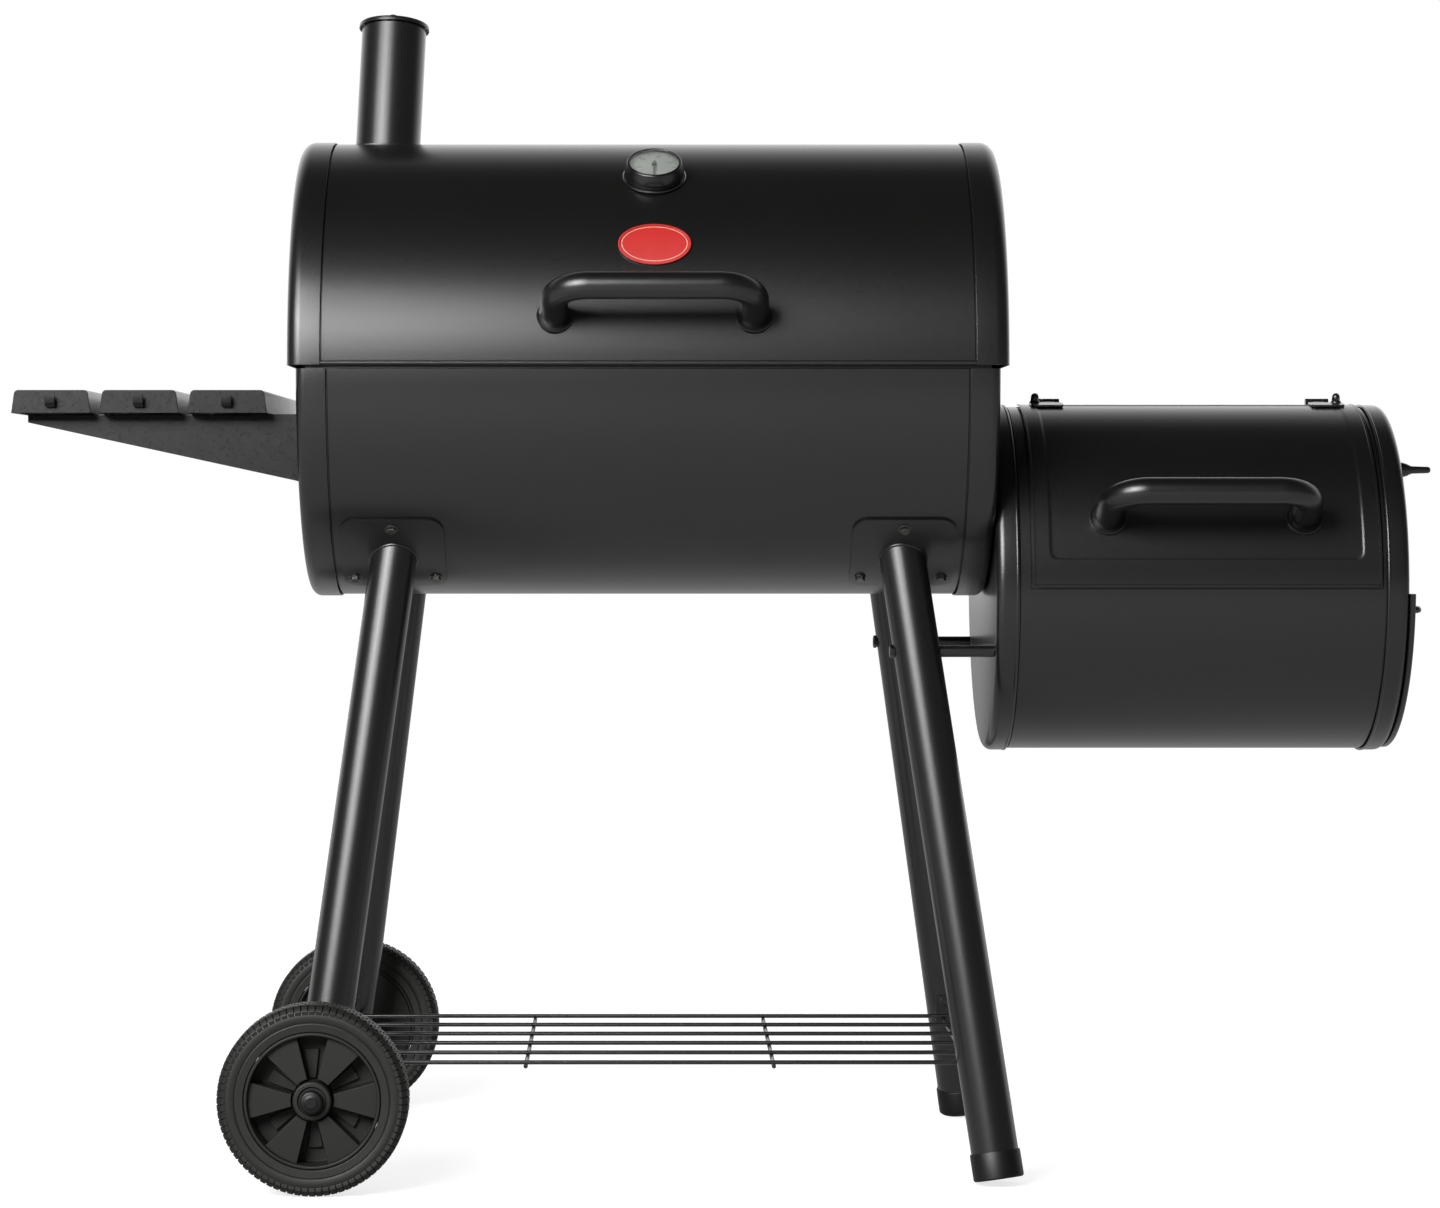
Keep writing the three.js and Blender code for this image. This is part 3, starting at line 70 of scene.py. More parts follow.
def add(tree, kind, values=None, out=0, **settings):
    """Adds one node and gives an output. A value is a number, a colour or another's output."""
    new = tree.nodes.new(kind)
    for key, value in settings.items():
        setattr(new, key, value)
    for socket, value in (values or {}).items():
        if isinstance(value, bpy.types.NodeSocket):
            tree.links.new(value, new.inputs[socket])
        else:
            new.inputs[socket].default_value = value
    return new.outputs if out is None or not new.outputs else new.outputs[out]


def blank(kinds, name):
    """A new material or world and its empty node tree."""
    new = kinds.new(name)
    new.use_nodes = True
    new.node_tree.nodes.clear()
    return new, new.node_tree


def finish_of(name, dark, light, roughness, spread, grain, depth, metallic=0.0, drift=90.0,
              specular=0.5):
    """A surface whose shade drifts over drift mm, with pores of grain mm that are depth mm deep."""
    material, tree = blank(bpy.data.materials, name)
    place = add(tree, "ShaderNodeTexCoord", out="Object")

    def noise(size, detail):
        return add(tree, "ShaderNodeTexNoise", {"Vector": place, "Scale": 1 / (size * METRE),
                                                "Detail": detail})

    shade = add(tree, "ShaderNodeMixRGB", {"Fac": noise(drift, 3.0), "Color1": linear(dark),
                                           "Color2": linear(light)})
    pores = noise(grain, 2.0)
    sheen = add(tree, "ShaderNodeMapRange", {
        "Value": pores, "From Min": 0.3, "From Max": 0.7, "To Min": roughness - spread,
        "To Max": roughness + spread})
    lift = add(tree, "ShaderNodeBump", {"Height": pores, "Strength": 1.0,
                                        "Distance": depth * METRE})
    shader = add(tree, "ShaderNodeBsdfPrincipled", {
        "Base Color": shade, "Roughness": sheen, "Normal": lift, "Metallic": metallic,
        "Specular IOR Level": specular})
    add(tree, "ShaderNodeOutputMaterial", {"Surface": shader})
    return material


# Powder coat, sprayed dry and baked: an even satin black with a very fine orange peel. The real
# peel is about half a millimetre, too fine for the render, so it is drawn at 3 mm.
powder_coat = finish_of("Satin black powder coat", "#0e0e0e", "#131312", 0.25, 0.01, 3.0, 0.0012)


def joined(*tools):
    """Several bmesh shells as one."""
    whole = bmesh.new()
    for tool in tools:
        carrier = bpy.data.meshes.new("carrier")
        tool.to_mesh(carrier)
        tool.free()
        whole.from_mesh(carrier)
        bpy.data.meshes.remove(carrier)
    return whole


def placed(name, data):
    """A new object in the scene."""
    new = bpy.data.objects.new(name, data)
    bpy.context.scene.collection.objects.link(new)
    return new


def finished(name, tool, *nodes, body="stand", material=powder_coat, edge=EDGE):
    """A shell in millimetres as a finished piece that rides on its body."""
    bmesh.ops.remove_doubles(tool, verts=tool.verts, dist=0.004)
    bmesh.ops.scale(tool, vec=(METRE, METRE, METRE), verts=tool.verts)
    mesh = bpy.data.meshes.new(name)
    tool.to_mesh(mesh)
    tool.free()
    mesh.materials.clear()
    mesh.materials.append(material)
    mesh.polygons.foreach_set("use_smooth", [True] * len(mesh.polygons))
    mesh.polygons.foreach_set("material_index", [0] * len(mesh.polygons))
    mesh.set_sharp_from_angle(angle=SHARP)
    piece = placed(name, mesh)
    if edge:
        bevel = piece.modifiers.new("Edges", "BEVEL")
        bevel.width = edge * METRE
        bevel.segments = 2
        bevel.angle_limit = SHARP
        bevel.harden_normals = True
    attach(piece, body)
    if nodes:
        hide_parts(*nodes)


def bent_sheet(outlines, radius, wall, axis_z=BARREL_Z, lines=(), relief=None):
    """Loops of (x, arc) rolled round a drum. Arc runs up from the front, level with the axis."""
    flat = bmesh.new()
    for loop in outlines:
        corners = [flat.verts.new((x, arc, 0)) for x, arc in loop]
        for start, end in zip(corners, corners[1:] + corners[:1]):
            flat.edges.new((start, end))
    bmesh.ops.triangle_fill(flat, use_beauty=True, edges=flat.edges)
    arcs = [vert.co.y for vert in flat.verts]
    step = radius * math.radians(ROLL_STEP)
    rolls = range(math.ceil(min(arcs) / step), math.floor(max(arcs) / step) + 1)
    for kind, value in [*[("arc", i * step) for i in rolls], *lines]:
        point, normal = ((0, value, 0), (0, 1, 0)) if kind == "arc" else ((value, 0, 0), (1, 0, 0))
        shell = flat.verts[:] + flat.edges[:] + flat.faces[:]
        bmesh.ops.bisect_plane(flat, geom=shell, dist=1e-4, plane_co=point, plane_no=normal)
    solid = bmesh.new()

    def rolled(vert, inset):
        x, arc, _ = vert.co
        reach = radius + (relief(x, arc) if relief else 0.0) - inset
        return solid.verts.new((x, -reach * math.cos(arc / radius),
                                axis_z + reach * math.sin(arc / radius)))

    outer = {vert: rolled(vert, 0.0) for vert in flat.verts}
    inner = {vert: rolled(vert, wall) for vert in flat.verts}
    for face in flat.faces:
        solid.faces.new([outer[vert] for vert in face.verts])
        solid.faces.new([inner[vert] for vert in reversed(face.verts)])
    for edge in flat.edges:
        if edge.is_boundary:
            start, end = edge.verts
            solid.faces.new([outer[start], outer[end], inner[end], inner[start]])
    flat.free()
    bmesh.ops.recalc_face_normals(solid, faces=solid.faces)
    return solid


def block(low, high):
    """A box between two corners, for folded strips whose edges are then rounded."""
    low, high = Vector(low), Vector(high)
    tool = bmesh.new()
    bmesh.ops.create_cube(tool, size=1.0)
    bmesh.ops.scale(tool, vec=high - low, verts=tool.verts)
    bmesh.ops.translate(tool, vec=(high + low) / 2, verts=tool.verts)
    return tool


def arc_points(middle, radius, start, end, steps):
    """Points of (radius, along) or (x, y) on an arc, in degrees."""
    turns = [math.radians(start + (end - start) * i / steps) for i in range(steps + 1)]
    return [(middle[0] + radius * math.cos(turn), middle[1] + radius * math.sin(turn))
            for turn in turns]


def rectangle(left, right, low, high, corner=0.0, steps=6):
    """A loop of (x, arc) corners, rounded by corner."""
    if not corner:
        return [(left, low), (right, low), (right, high), (left, high)]
    spots = ((right - corner, low + corner), (right - corner, high - corner),
             (left + corner, high - corner), (left + corner, low + corner))
    return [point for i, spot in enumerate(spots)
            for point in arc_points(spot, corner, 90 * i - 90, 90 * i, steps)]


def on_drum(radius, degrees):
    """Arc length up from the front for an elevation in degrees."""
    return radius * math.radians(degrees)


def centre(node):
    """The middle of a CAD node's box, in millimetres."""
    low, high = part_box(node)
    return (low + high) / 2 / METRE


def span(node, axis):
    """Where a CAD node starts and ends along an axis, in millimetres."""
    low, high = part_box(node)
    return low[axis] / METRE, high[axis] / METRE


BARREL_X = centre("barrel_skin").x
RIM_RISE = 3.0
LEDGE_WIDTH = 15.0
LEDGE_WALL = 2.0
LEDGE_TOPS = (750.7, 644.7)
barrel_ends = (BARREL_X - BARREL_HALF + CORNER, BARREL_X + BARREL_HALF - CORNER)
rim = math.degrees(math.asin(RIM_RISE / BARREL_RADIUS))
barrel_outline = rectangle(*barrel_ends, on_drum(BARREL_RADIUS, -180 - rim),
                           on_drum(BARREL_RADIUS, rim))
ledges = []
for top in LEDGE_TOPS:
    reach = math.sqrt((BARREL_RADIUS - SKIN_WALL / 2) ** 2 - (BARREL_Z - top + LEDGE_WALL) ** 2)
    for side in (-1, 1):
        near, far = sorted((side * (reach - LEDGE_WIDTH), side * reach))
        ledges.append(block((barrel_ends[0], near, top - LEDGE_WALL), (barrel_ends[1], far, top)))
# The rim is set in by a step, which shows as the dark line under the lid's edge.
RIM_STEP = 4.0
RIM_BAND = 5.7
STEP_RUN = 0.5
SEAM_STEP = 1.6
SEAM_WIDTH = 1.7
half_turn = on_drum(BARREL_RADIUS, 180)


def share_of(distance):
    """How much of a step stands at a distance inside its edge."""
    return min(max(distance / STEP_RUN, 0), 1)


def seam(middle, half):
    """A sheet's ends, set in under the skirts and a little past them, and the cuts for that."""
    edge = half - SEAM_WIDTH

    def lift(x, arc):
        return -SEAM_STEP * share_of(abs(x - middle) - edge)

    return lift, [("x", middle + side * place) for side in (-1, 1)
                  for place in (edge, edge + STEP_RUN)]


barrel_seam, rim_lines = seam(BARREL_X, BARREL_HALF - BARREL_SKIRT)
rim_lines += [("arc", place) for band in (RIM_BAND, RIM_BAND - STEP_RUN)
              for place in (-band, band - half_turn)]


def set_in(x, arc):
    band = min(-arc, arc + half_turn)
    return min(-RIM_STEP * share_of(RIM_BAND - band), barrel_seam(x, arc))


barrel = bent_sheet([barrel_outline], BARREL_RADIUS, SKIN_WALL, lines=rim_lines, relief=set_in)
finished("barrel_lower_skin", joined(barrel, *ledges), "barrel_skin")

# Barrel end caps
# Each end is closed by a pressed disc with a rolled corner and a skirt that laps over the skin.
# The right one has the lens-shaped passage that lets smoke in from the firebox.
ENDS = (("left", -1), ("right", 1))
SKIRT_PROUD = 1.7
END_DROP = 5.0
PASSAGE_INSET = 26.0
FIREBOX_RADIUS = 170.0
FIREBOX_Z = 569.0
CAP_STEPS = 160
X_WAY = (1, 0, 0)


def turned(profile, base, direction, steps=96):
    """A closed profile of (radius, along) pairs turned about the line from base along direction."""
    tool = bmesh.new()
    turn = Vector((0, 0, 1)).rotation_difference(Vector(direction).normalized()).to_matrix()
    rings = []
    for radius, along in profile:
        count = steps if radius > 1e-6 else 1
        angles = [2 * math.pi * i / count for i in range(count)]
        rings.append([tool.verts.new(Vector(base) + turn @ Vector(
            (radius * math.cos(angle), radius * math.sin(angle), along))) for angle in angles])
    for near, far in zip(rings, rings[1:] + rings[:1]):
        for i in range(steps):
            j = (i + 1) % steps
            corners = dict.fromkeys([near[i % len(near)], near[j % len(near)],
                                     far[j % len(far)], far[i % len(far)]])
            if len(corners) > 2:
                tool.faces.new(list(corners))
    bmesh.ops.recalc_face_normals(tool, faces=tool.faces)
    return tool


def bar(radius, base, way, length, steps=32):
    """A solid round bar."""
    return turned([(0, 0), (radius, 0), (radius, length), (0, length)], base, way, steps)


def sliced(tool, height, keep_below):
    """Cuts a shell level at a height, keeps one side and closes it."""
    shell = tool.verts[:] + tool.edges[:] + tool.faces[:]
    bmesh.ops.bisect_plane(tool, geom=shell, dist=1e-4, plane_co=(0, 0, height),
                           plane_no=(0, 0, 1), clear_outer=keep_below, clear_inner=not keep_below)
    bmesh.ops.holes_fill(tool, edges=[edge for edge in tool.edges if edge.is_boundary], sides=0)
    bmesh.ops.recalc_face_normals(tool, faces=tool.faces)
    return tool


def temporary(tool):
    """A shell as an object that is only used as a tool."""
    mesh = bpy.data.meshes.new("carrier")
    tool.to_mesh(mesh)
    tool.free()
    return placed("carrier", mesh)


def evaluated(holder):
    """The shell that an object's modifiers make; the object itself is removed."""
    graph = bpy.context.evaluated_depsgraph_get()
    mesh = bpy.data.meshes.new_from_object(holder.evaluated_get(graph))
    tool = bmesh.new()
    tool.from_mesh(mesh)
    bpy.data.objects.remove(holder)
    bpy.data.meshes.remove(mesh)
    return tool


def carved(tool, *cutters, operation="DIFFERENCE"):
    """A shell with others cut out of it, or kept in common with it."""
    holder = temporary(tool)
    tools = [temporary(cutter) for cutter in cutters]
    for cutter in tools:
        modifier = holder.modifiers.new("Cut", "BOOLEAN")
        modifier.operation = operation
        modifier.solver = "EXACT"
        modifier.object = cutter
    result = evaluated(holder)
    for cutter in tools:
        bpy.data.objects.remove(cutter)
    return result


def end_cap(radius, skirt, corner, face, side, axis_z=BARREL_Z, bead=0.0):
    """A pressed disc with a rolled corner and a beaded skirt, its flat face at x = face."""
    wall = SKIRT_PROUD - GAP
    outer = radius + SKIRT_PROUD
    ring = arc_points((outer - corner, corner), corner, -90, 0, 8)
    lining = arc_points((outer - corner, corner), corner - wall, 0, -90, 8)
    roll = [(outer, skirt - 3.6), (outer, skirt - 2.8), (outer + bead * 0.7, skirt - 2.2),
            (outer + bead, skirt - 1.4), (outer + bead * 0.7, skirt - 0.6)] if bead else []
    profile = [(0, 0), *ring, *roll, (outer, skirt), (outer - wall, skirt), *lining, (0, wall)]
    return turned(profile, (face, 0, axis_z), (-side, 0, 0), CAP_STEPS)


def smoke_passage():
    """What the two drums share, drawn in by a margin."""
    large, small = [bar(radius - PASSAGE_INSET, (BARREL_X + BARREL_HALF - BARREL_SKIRT, 0, axis_z),
                        X_WAY, 2 * BARREL_SKIRT, CAP_STEPS)
                    for radius, axis_z in ((BARREL_RADIUS, BARREL_Z), (FIREBOX_RADIUS, FIREBOX_Z))]
    return carved(large, small, operation="INTERSECT")


for name, side in ENDS:
    cap = end_cap(BARREL_RADIUS, BARREL_SKIRT, CORNER, BARREL_X + side * BARREL_HALF, side)
    cap = sliced(cap, BARREL_Z - END_DROP, True)
    if side > 0:
        cap = carved(cap, smoke_passage())
    finished(f"barrel_cap_{name}", cap, f"barrel_end_{name}")

# Grates
# The cooking grates and the firebox grate are sand cast iron, seasoned dark, and the charcoal
# grate is a plain rolled sheet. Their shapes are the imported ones.
# Cast iron: rough from the sand, dull black-brown. Rolled sheet: grey scale with a faint shine.
cast_iron = finish_of("Seasoned cast iron", "#1d1b1a", "#2b2826", 0.62, 0.1, 2.0, 0.12, drift=25.0)
rolled_steel = finish_of("Rolled steel sheet", "#5d5c59", "#75736f", 0.42, 0.08, 6.0, 0.02, 0.9)
for node in (*[f"cooking_grate_{i}" for i in (1, 2, 3, 4)], "firebox_grate", "charcoal_grate"):
    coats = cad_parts[node].data.materials
    coats.clear()
    coats.append(rolled_steel if node == "charcoal_grate" else cast_iron)

# Lid skin
# The upper half of the barrel, rolled to a slightly larger circle so that it closes over the
# lower half. Its front and rear edges are curled into a lip, and it is holed for flue and probe.
LID_RADIUS = 225.0
LID_HALF = 341.5
LID_SKIRT = 32.0
LID_DROP = 2.0
LIP_RADIUS = 2.2
LIP_STAND = 0.275
LID_FEATURE_X = BARREL_X + 6.0
THERMOMETER_ELEVATION = 54.0
PROBE_RADIUS = 4.5
CHIMNEY_X = BARREL_X - 262.5
CHIMNEY_BACK = 11.5
CHIMNEY_LEAN = 2.2
CHIMNEY_RADIUS = 32.5


def circle(middle, radius, steps=48):
    """A loop of points round a middle."""
    return arc_points(middle, radius, 0, 360 - 360 / steps, steps - 1)


def new_tree(name, **inputs):
    """A geometry tree with named inputs, and their sockets."""
    tree = bpy.data.node_groups.new(name, "GeometryNodeTree")
    for label, kind in {"geometry": "Geometry", **inputs, "finish": "Material"}.items():
        tree.interface.new_socket(label, in_out="INPUT", socket_type=f"NodeSocket{kind}")
    tree.interface.new_socket("geometry", in_out="OUTPUT", socket_type="NodeSocketGeometry")
    return tree, add(tree, "NodeGroupInput", out=None)


def ends_in(tree, geometry, finish):
    """Makes what the tree copies real, coats it and hands it out."""
    real = add(tree, "GeometryNodeRealizeInstances", {"Geometry": geometry})
    coated = add(tree, "GeometryNodeSetMaterial", {"Geometry": real, "Material": finish})
    add(tree, "NodeGroupOutput", {"geometry": coated})


tube_tree, entry = new_tree("Tube along a line", tube_radius="Float", bend_radius="Float",
                            sides="Int", bend_steps="Int")
line = add(tube_tree, "GeometryNodeMeshToCurve", {"Mesh": entry["geometry"]})
bends = add(tube_tree, "GeometryNodeFilletCurve", {
    "Curve": line, "Count": entry["bend_steps"], "Radius": entry["bend_radius"],
    "Limit Radius": True}, mode="POLY")
ring = add(tube_tree, "GeometryNodeCurvePrimitiveCircle", {
    "Resolution": entry["sides"], "Radius": entry["tube_radius"]})
ends_in(tube_tree, add(tube_tree, "GeometryNodeCurveToMesh", {
    "Curve": bends, "Profile Curve": ring, "Fill Caps": True}), entry["finish"])


def grown(tree, points, edges=(), facing=None, **inputs):
    """The shell that a node tree makes from points, edges and its named inputs."""
    mesh = bpy.data.meshes.new("carrier")
    mesh.from_pydata([tuple(point) for point in points], list(edges), [])
    if facing:
        attribute = mesh.attributes.new("facing", "FLOAT_VECTOR", "POINT")
        attribute.data.foreach_set("vector", [part for way in facing for part in way])
    holder = placed("carrier", mesh)
    modifier = holder.modifiers.new("Grown", "NODES")
    modifier.node_group = tree
    for item in tree.interface.items_tree:
        if item.in_out == "INPUT" and item.name in inputs:
            modifier[item.identifier] = inputs[item.name]
    return evaluated(holder)


def tubes(paths, radius, bend=0.0, sides=40, steps=10):
    """Round bars along paths of points, bent round each corner."""
    points, edges = [], []
    for path in paths:
        edges += [(len(points) + i, len(points) + i + 1) for i in range(len(path) - 1)]
        points += path
    tool = grown(tube_tree, points, edges, tube_radius=radius, bend_radius=bend, sides=sides,
                 bend_steps=steps, finish=powder_coat)
    bmesh.ops.recalc_face_normals(tool, faces=tool.faces)
    return tool


lid_half = LID_HALF - CORNER
drop = math.degrees(math.asin(LID_DROP / LID_RADIUS))
flue_hole = circle((CHIMNEY_X, on_drum(LID_RADIUS, 90 + CHIMNEY_BACK)), CHIMNEY_RADIUS + 0.6)
probe_hole = circle((LID_FEATURE_X, on_drum(LID_RADIUS, THERMOMETER_ELEVATION)),
                    PROBE_RADIUS + GAP)
lid_outline = rectangle(BARREL_X - lid_half, BARREL_X + lid_half,
                        on_drum(LID_RADIUS, -drop), on_drum(LID_RADIUS, 180 + drop))
lid_seam, lid_lines = seam(BARREL_X, LID_HALF - LID_SKIRT)
lid_sheet = bent_sheet([lid_outline, flue_hole, probe_hole], LID_RADIUS, SKIN_WALL,
                       lines=lid_lines, relief=lid_seam)
lip_end = LID_HALF - LID_SKIRT - GAP
lips = tubes([[(BARREL_X + end * lip_end, side * (LID_RADIUS + LIP_STAND),
                BARREL_Z - LID_DROP + LIP_RADIUS) for end in (-1, 1)] for side in (-1, 1)],
             LIP_RADIUS, sides=16)
finished("lid_shell", joined(lid_sheet, lips), "lid_skin", body="lid")

# Lid end caps
# Pressed half discs like those of the barrel, with a wider skirt and a rounder corner, spot
# welded inside the lid.
LID_CORNER = 13.5
for name, side in ENDS:
    cap = end_cap(LID_RADIUS, LID_SKIRT, LID_CORNER, BARREL_X + side * LID_HALF, side)
    finished(f"lid_cap_{name}", sliced(cap, BARREL_Z - LID_DROP, False), f"lid_end_{name}",
             body="lid")

# Lid hinges
# Two leaf hinges of bent steel at the back. The pin is riveted to the barrel's leaf, and the
# leaves are bolted on with small hexagon bolts.
HINGE_OFFSET = 190.0
KNUCKLE_RADIUS = 6.0
PIN_RADIUS = 3.0
HINGE_HALF = 20.0
LEAF_WALL = 2.5
LID_LEAF = (4.0, 42.0)
BARREL_LEAF = (9.0, 40.0)
LEAF_CORNER = 5.0
BOLT_SPREAD = 12.0
# Black oxide steel: the dark blued skin of small screws, with a soft metal shine.
black_oxide = finish_of("Black oxide steel", "#2c2c2c", "#3a3a39", 0.3, 0.04, 2.0, 0.004, 0.85)
# Nickel plate: grey and glossy, so that each bolt head shows a spark of light.
nickel = finish_of("Dull nickel plate", "#565654", "#62625f", 0.24, 0.03, 2.0, 0.003, 1.0)


def drawn(corners, shift):
    """A flat loop of corners, drawn along shift into a solid."""
    tool = bmesh.new()
    face = tool.faces.new([tool.verts.new(corner) for corner in corners])
    made = bmesh.ops.extrude_face_region(tool, geom=[face])["geom"]
    bmesh.ops.translate(tool, vec=shift, verts=[
        item for item in made if isinstance(item, bmesh.types.BMVert)])
    bmesh.ops.recalc_face_normals(tool, faces=tool.faces)
    return tool


def ribbed(outline, left, right):
    """A polygon of (y, z) corners, drawn along x."""
    return drawn([(left, y, z) for y, z in outline], (right - left, 0, 0))


fastener_tree, entry = new_tree("Fasteners on points", fastener="Object", scale="Float")
pattern = add(fastener_tree, "GeometryNodeObjectInfo", {"Object": entry["fastener"]},
              out="Geometry")
way = add(fastener_tree, "GeometryNodeInputNamedAttribute", {"Name": "facing"},
          out="Attribute", data_type="FLOAT_VECTOR")
turn = add(fastener_tree, "FunctionNodeAlignRotationToVector", {"Vector": way}, axis="Z")
ends_in(fastener_tree, add(fastener_tree, "GeometryNodeInstanceOnPoints", {
    "Points": entry["geometry"], "Instance": pattern, "Rotation": turn,
    "Scale": entry["scale"]}), entry["finish"])


def upright(profile, steps):
    """A profile turned about z."""
    return turned(profile, (0, 0, 0), (0, 0, 1), steps)


def hexagon_bolt():
    """A bolt head with a chamfered crown on a flat washer."""
    washer = upright([(0, 0), (7.0, 0), (7.0, 0.9), (6.6, 1.2), (0, 1.2)], 32)
    return joined(washer, upright([(0, 1.0), (5.6, 1.0), (5.6, 4.2), (4.7, 5.0), (0, 5.0)], 6))


def dome_nut():
    """A closed nut: a flared foot, a hexagon and a dome."""
    foot = upright([(0, 0), (5.2, 0), (5.0, 0.8), (3.9, 2.2), (0, 2.2)], 32)
    flats = upright([(0, 1.5), (4.1, 1.5), (4.1, 4.6), (0, 4.6)], 6)
    dome = upright([(0, 4.0), (3.9, 4.0), *arc_points((0.0, 5.4), 3.9, 0, 90, 8)], 32)
    return joined(foot, flats, dome)


def fasteners(name, places, body="stand", scale=1.0, material=black_oxide, pattern=hexagon_bolt):
    """The same fastener at each (point, way out) of a list."""
    holder = temporary(pattern())
    tool = grown(fastener_tree, [point for point, _ in places],
                 facing=[tuple(way) for _, way in places], fastener=holder, scale=scale,
                 finish=material)
    bpy.data.objects.remove(holder)
    finished(name, tool, body=body, material=material, edge=0.0)


def drum_place(x, degrees, radius, axis_z=BARREL_Z):
    """A point on a drum and the way out there."""
    turn = math.radians(degrees)
    way = Vector((0, -math.cos(turn), math.sin(turn)))
    return Vector((x, 0, axis_z)) + way * radius, way


def arc_degrees(length, radius):
    return math.degrees(length / radius)


knuckle = HINGE_HALF / 3
low = LID_RADIUS + GAP
hinge_y = LID_RADIUS + LIP_STAND + LIP_RADIUS + KNUCKLE_RADIUS + 2 * GAP
lid_web = [(low, BARREL_Z + LID_LEAF[0]), (hinge_y - PIN_RADIUS, BARREL_Z - PIN_RADIUS),
           (hinge_y, BARREL_Z + KNUCKLE_RADIUS),
           (low + LEAF_WALL / 2, BARREL_Z + 2 * KNUCKLE_RADIUS)]
barrel_web = [(BARREL_RADIUS + GAP, BARREL_Z - BARREL_LEAF[0]),
              (BARREL_RADIUS + LEAF_WALL, BARREL_Z - 15.0),
              (hinge_y + PIN_RADIUS, BARREL_Z - 4.8), (hinge_y - PIN_RADIUS, BARREL_Z - 4.8)]
LEAVES = (("lid", "lid", LID_RADIUS, -1, LID_LEAF, 29.0, lid_web, [(-knuckle, knuckle)]),
          ("barrel", "stand", BARREL_RADIUS, 1, BARREL_LEAF, 28.0, barrel_web,
           [(-HINGE_HALF, -knuckle - GAP), (knuckle + GAP, HINGE_HALF)]))
for name, side in ENDS:
    x = BARREL_X + side * HINGE_OFFSET
    for part, body, radius, way, leaf, bolt_arc, web, knuckles in LEAVES:
        seat = radius + GAP + LEAF_WALL
        edges = sorted(way * (reach - on_drum(seat, 180)) for reach in leaf)
        parts = [bent_sheet([rectangle(x - HINGE_HALF, x + HINGE_HALF, *edges, LEAF_CORNER)],
                            seat, LEAF_WALL)]
        for left, right in knuckles:
            parts += [ribbed(web, x + left, x + right), bar(
                KNUCKLE_RADIUS, (x + left, hinge_y, BARREL_Z), X_WAY, right - left)]
        if part == "barrel":
            parts += [turned([(0, -1.0), (4.4, -1.0), (4.4, 0.9), (3.2, 2.2), (0, 2.4)],
                             (x + end * HINGE_HALF, hinge_y, BARREL_Z), (end, 0, 0), 32)
                      for end in (-1, 1)]
        finished(f"{part}_hinge_{name}", joined(*parts), f"{part}_hinge_leaf_{name}", body=body,
                 edge=0.3)
        fasteners(f"{part}_hinge_bolts_{name}", [
            drum_place(x + spread * BOLT_SPREAD, way * (arc_degrees(bolt_arc, radius) - 180), seat)
            for spread in (-1, 1)], body, 0.75)

# Lid handle
# A steel tube bent twice and painted with heat-proof black, standing out and up from the lid on
# a thin washer under each foot.
HANDLE_TUBE = 13.0
HANDLE_HALF = 94.0
HANDLE_REACH = 66.0
HANDLE_BEND = 33.0
HANDLE_TILT = 22.5
WASHER_RADIUS = 17.5
WASHER_DEPTH = 4.0
LID_HANDLE_ELEVATION = 11.5
# Heat-proof paint: smoother and a little glossier than the powder coat round it.
heat_paint = finish_of("Heat-proof black paint", "#0d0d0d", "#121211", 0.26, 0.01, 4.0, 0.001)


def bar_handle(x, drum_radius, elevation, axis_z=BARREL_Z):
    """A bent tube on two washers, standing on a drum."""
    foot, _ = drum_place(x, elevation, drum_radius, axis_z)
    tilt = math.radians(HANDLE_TILT)
    out = Vector((0, -math.cos(tilt), math.sin(tilt)))

    def spot(across, reach):
        return foot + Vector((across, 0, 0)) + out * reach

    tube = tubes([[spot(-HANDLE_HALF, -WASHER_DEPTH), spot(-HANDLE_HALF, HANDLE_REACH),
                   spot(HANDLE_HALF, HANDLE_REACH), spot(HANDLE_HALF, -WASHER_DEPTH)]],
                 HANDLE_TUBE, HANDLE_BEND, sides=56, steps=16)
    washer = [(0, -WASHER_DEPTH), (WASHER_RADIUS, -WASHER_DEPTH), (WASHER_RADIUS, 0.9),
              (WASHER_RADIUS - 0.5, 1.4), (WASHER_RADIUS - 1.2, 1.3), (WASHER_RADIUS - 1.8, 0.4),
              (HANDLE_TUBE, 0.2), (0, 0.2)]
    return joined(tube, *[turned(washer, spot(across, 0.0), out, 64)
                          for across in (-HANDLE_HALF, HANDLE_HALF)])


finished("lid_bar_handle", bar_handle(LID_FEATURE_X, LID_RADIUS, LID_HANDLE_ELEVATION),
         "lid_handle", body="lid", material=heat_paint, edge=0.0)

# Thermometer
# A drawn steel cup, coloured gloss black as painted dark reflection, on a bright chrome back ring;
# a silver white dial, drawn mid grey as painted shade, with printed marks and figures; a pointer
# that turns, and a flat glass.
FLANGE_RADIUS = 30.5
CASE_RADIUS = 26.5
CASE_DEPTH = 18.0
DIAL_RADIUS = 23.7
DIAL_FLOOR = 12.5
# Chrome on drawn steel: a mirror with the faintest haze.
chrome = finish_of("Polished chrome", "#8c8c8b", "#969694", 0.14, 0.02, 12.0, 0.002, 1.0)
# Gloss black on the cup, a painted dark reflection: its chrome is coloured as dark as the lid and
# front that it mirrors, with a wet gloss.
cup_black_painted_reflection = finish_of("Gloss black stove enamel", "#080808", "#0b0b0b", 0.24, 0.01, 8.0, 0.001)
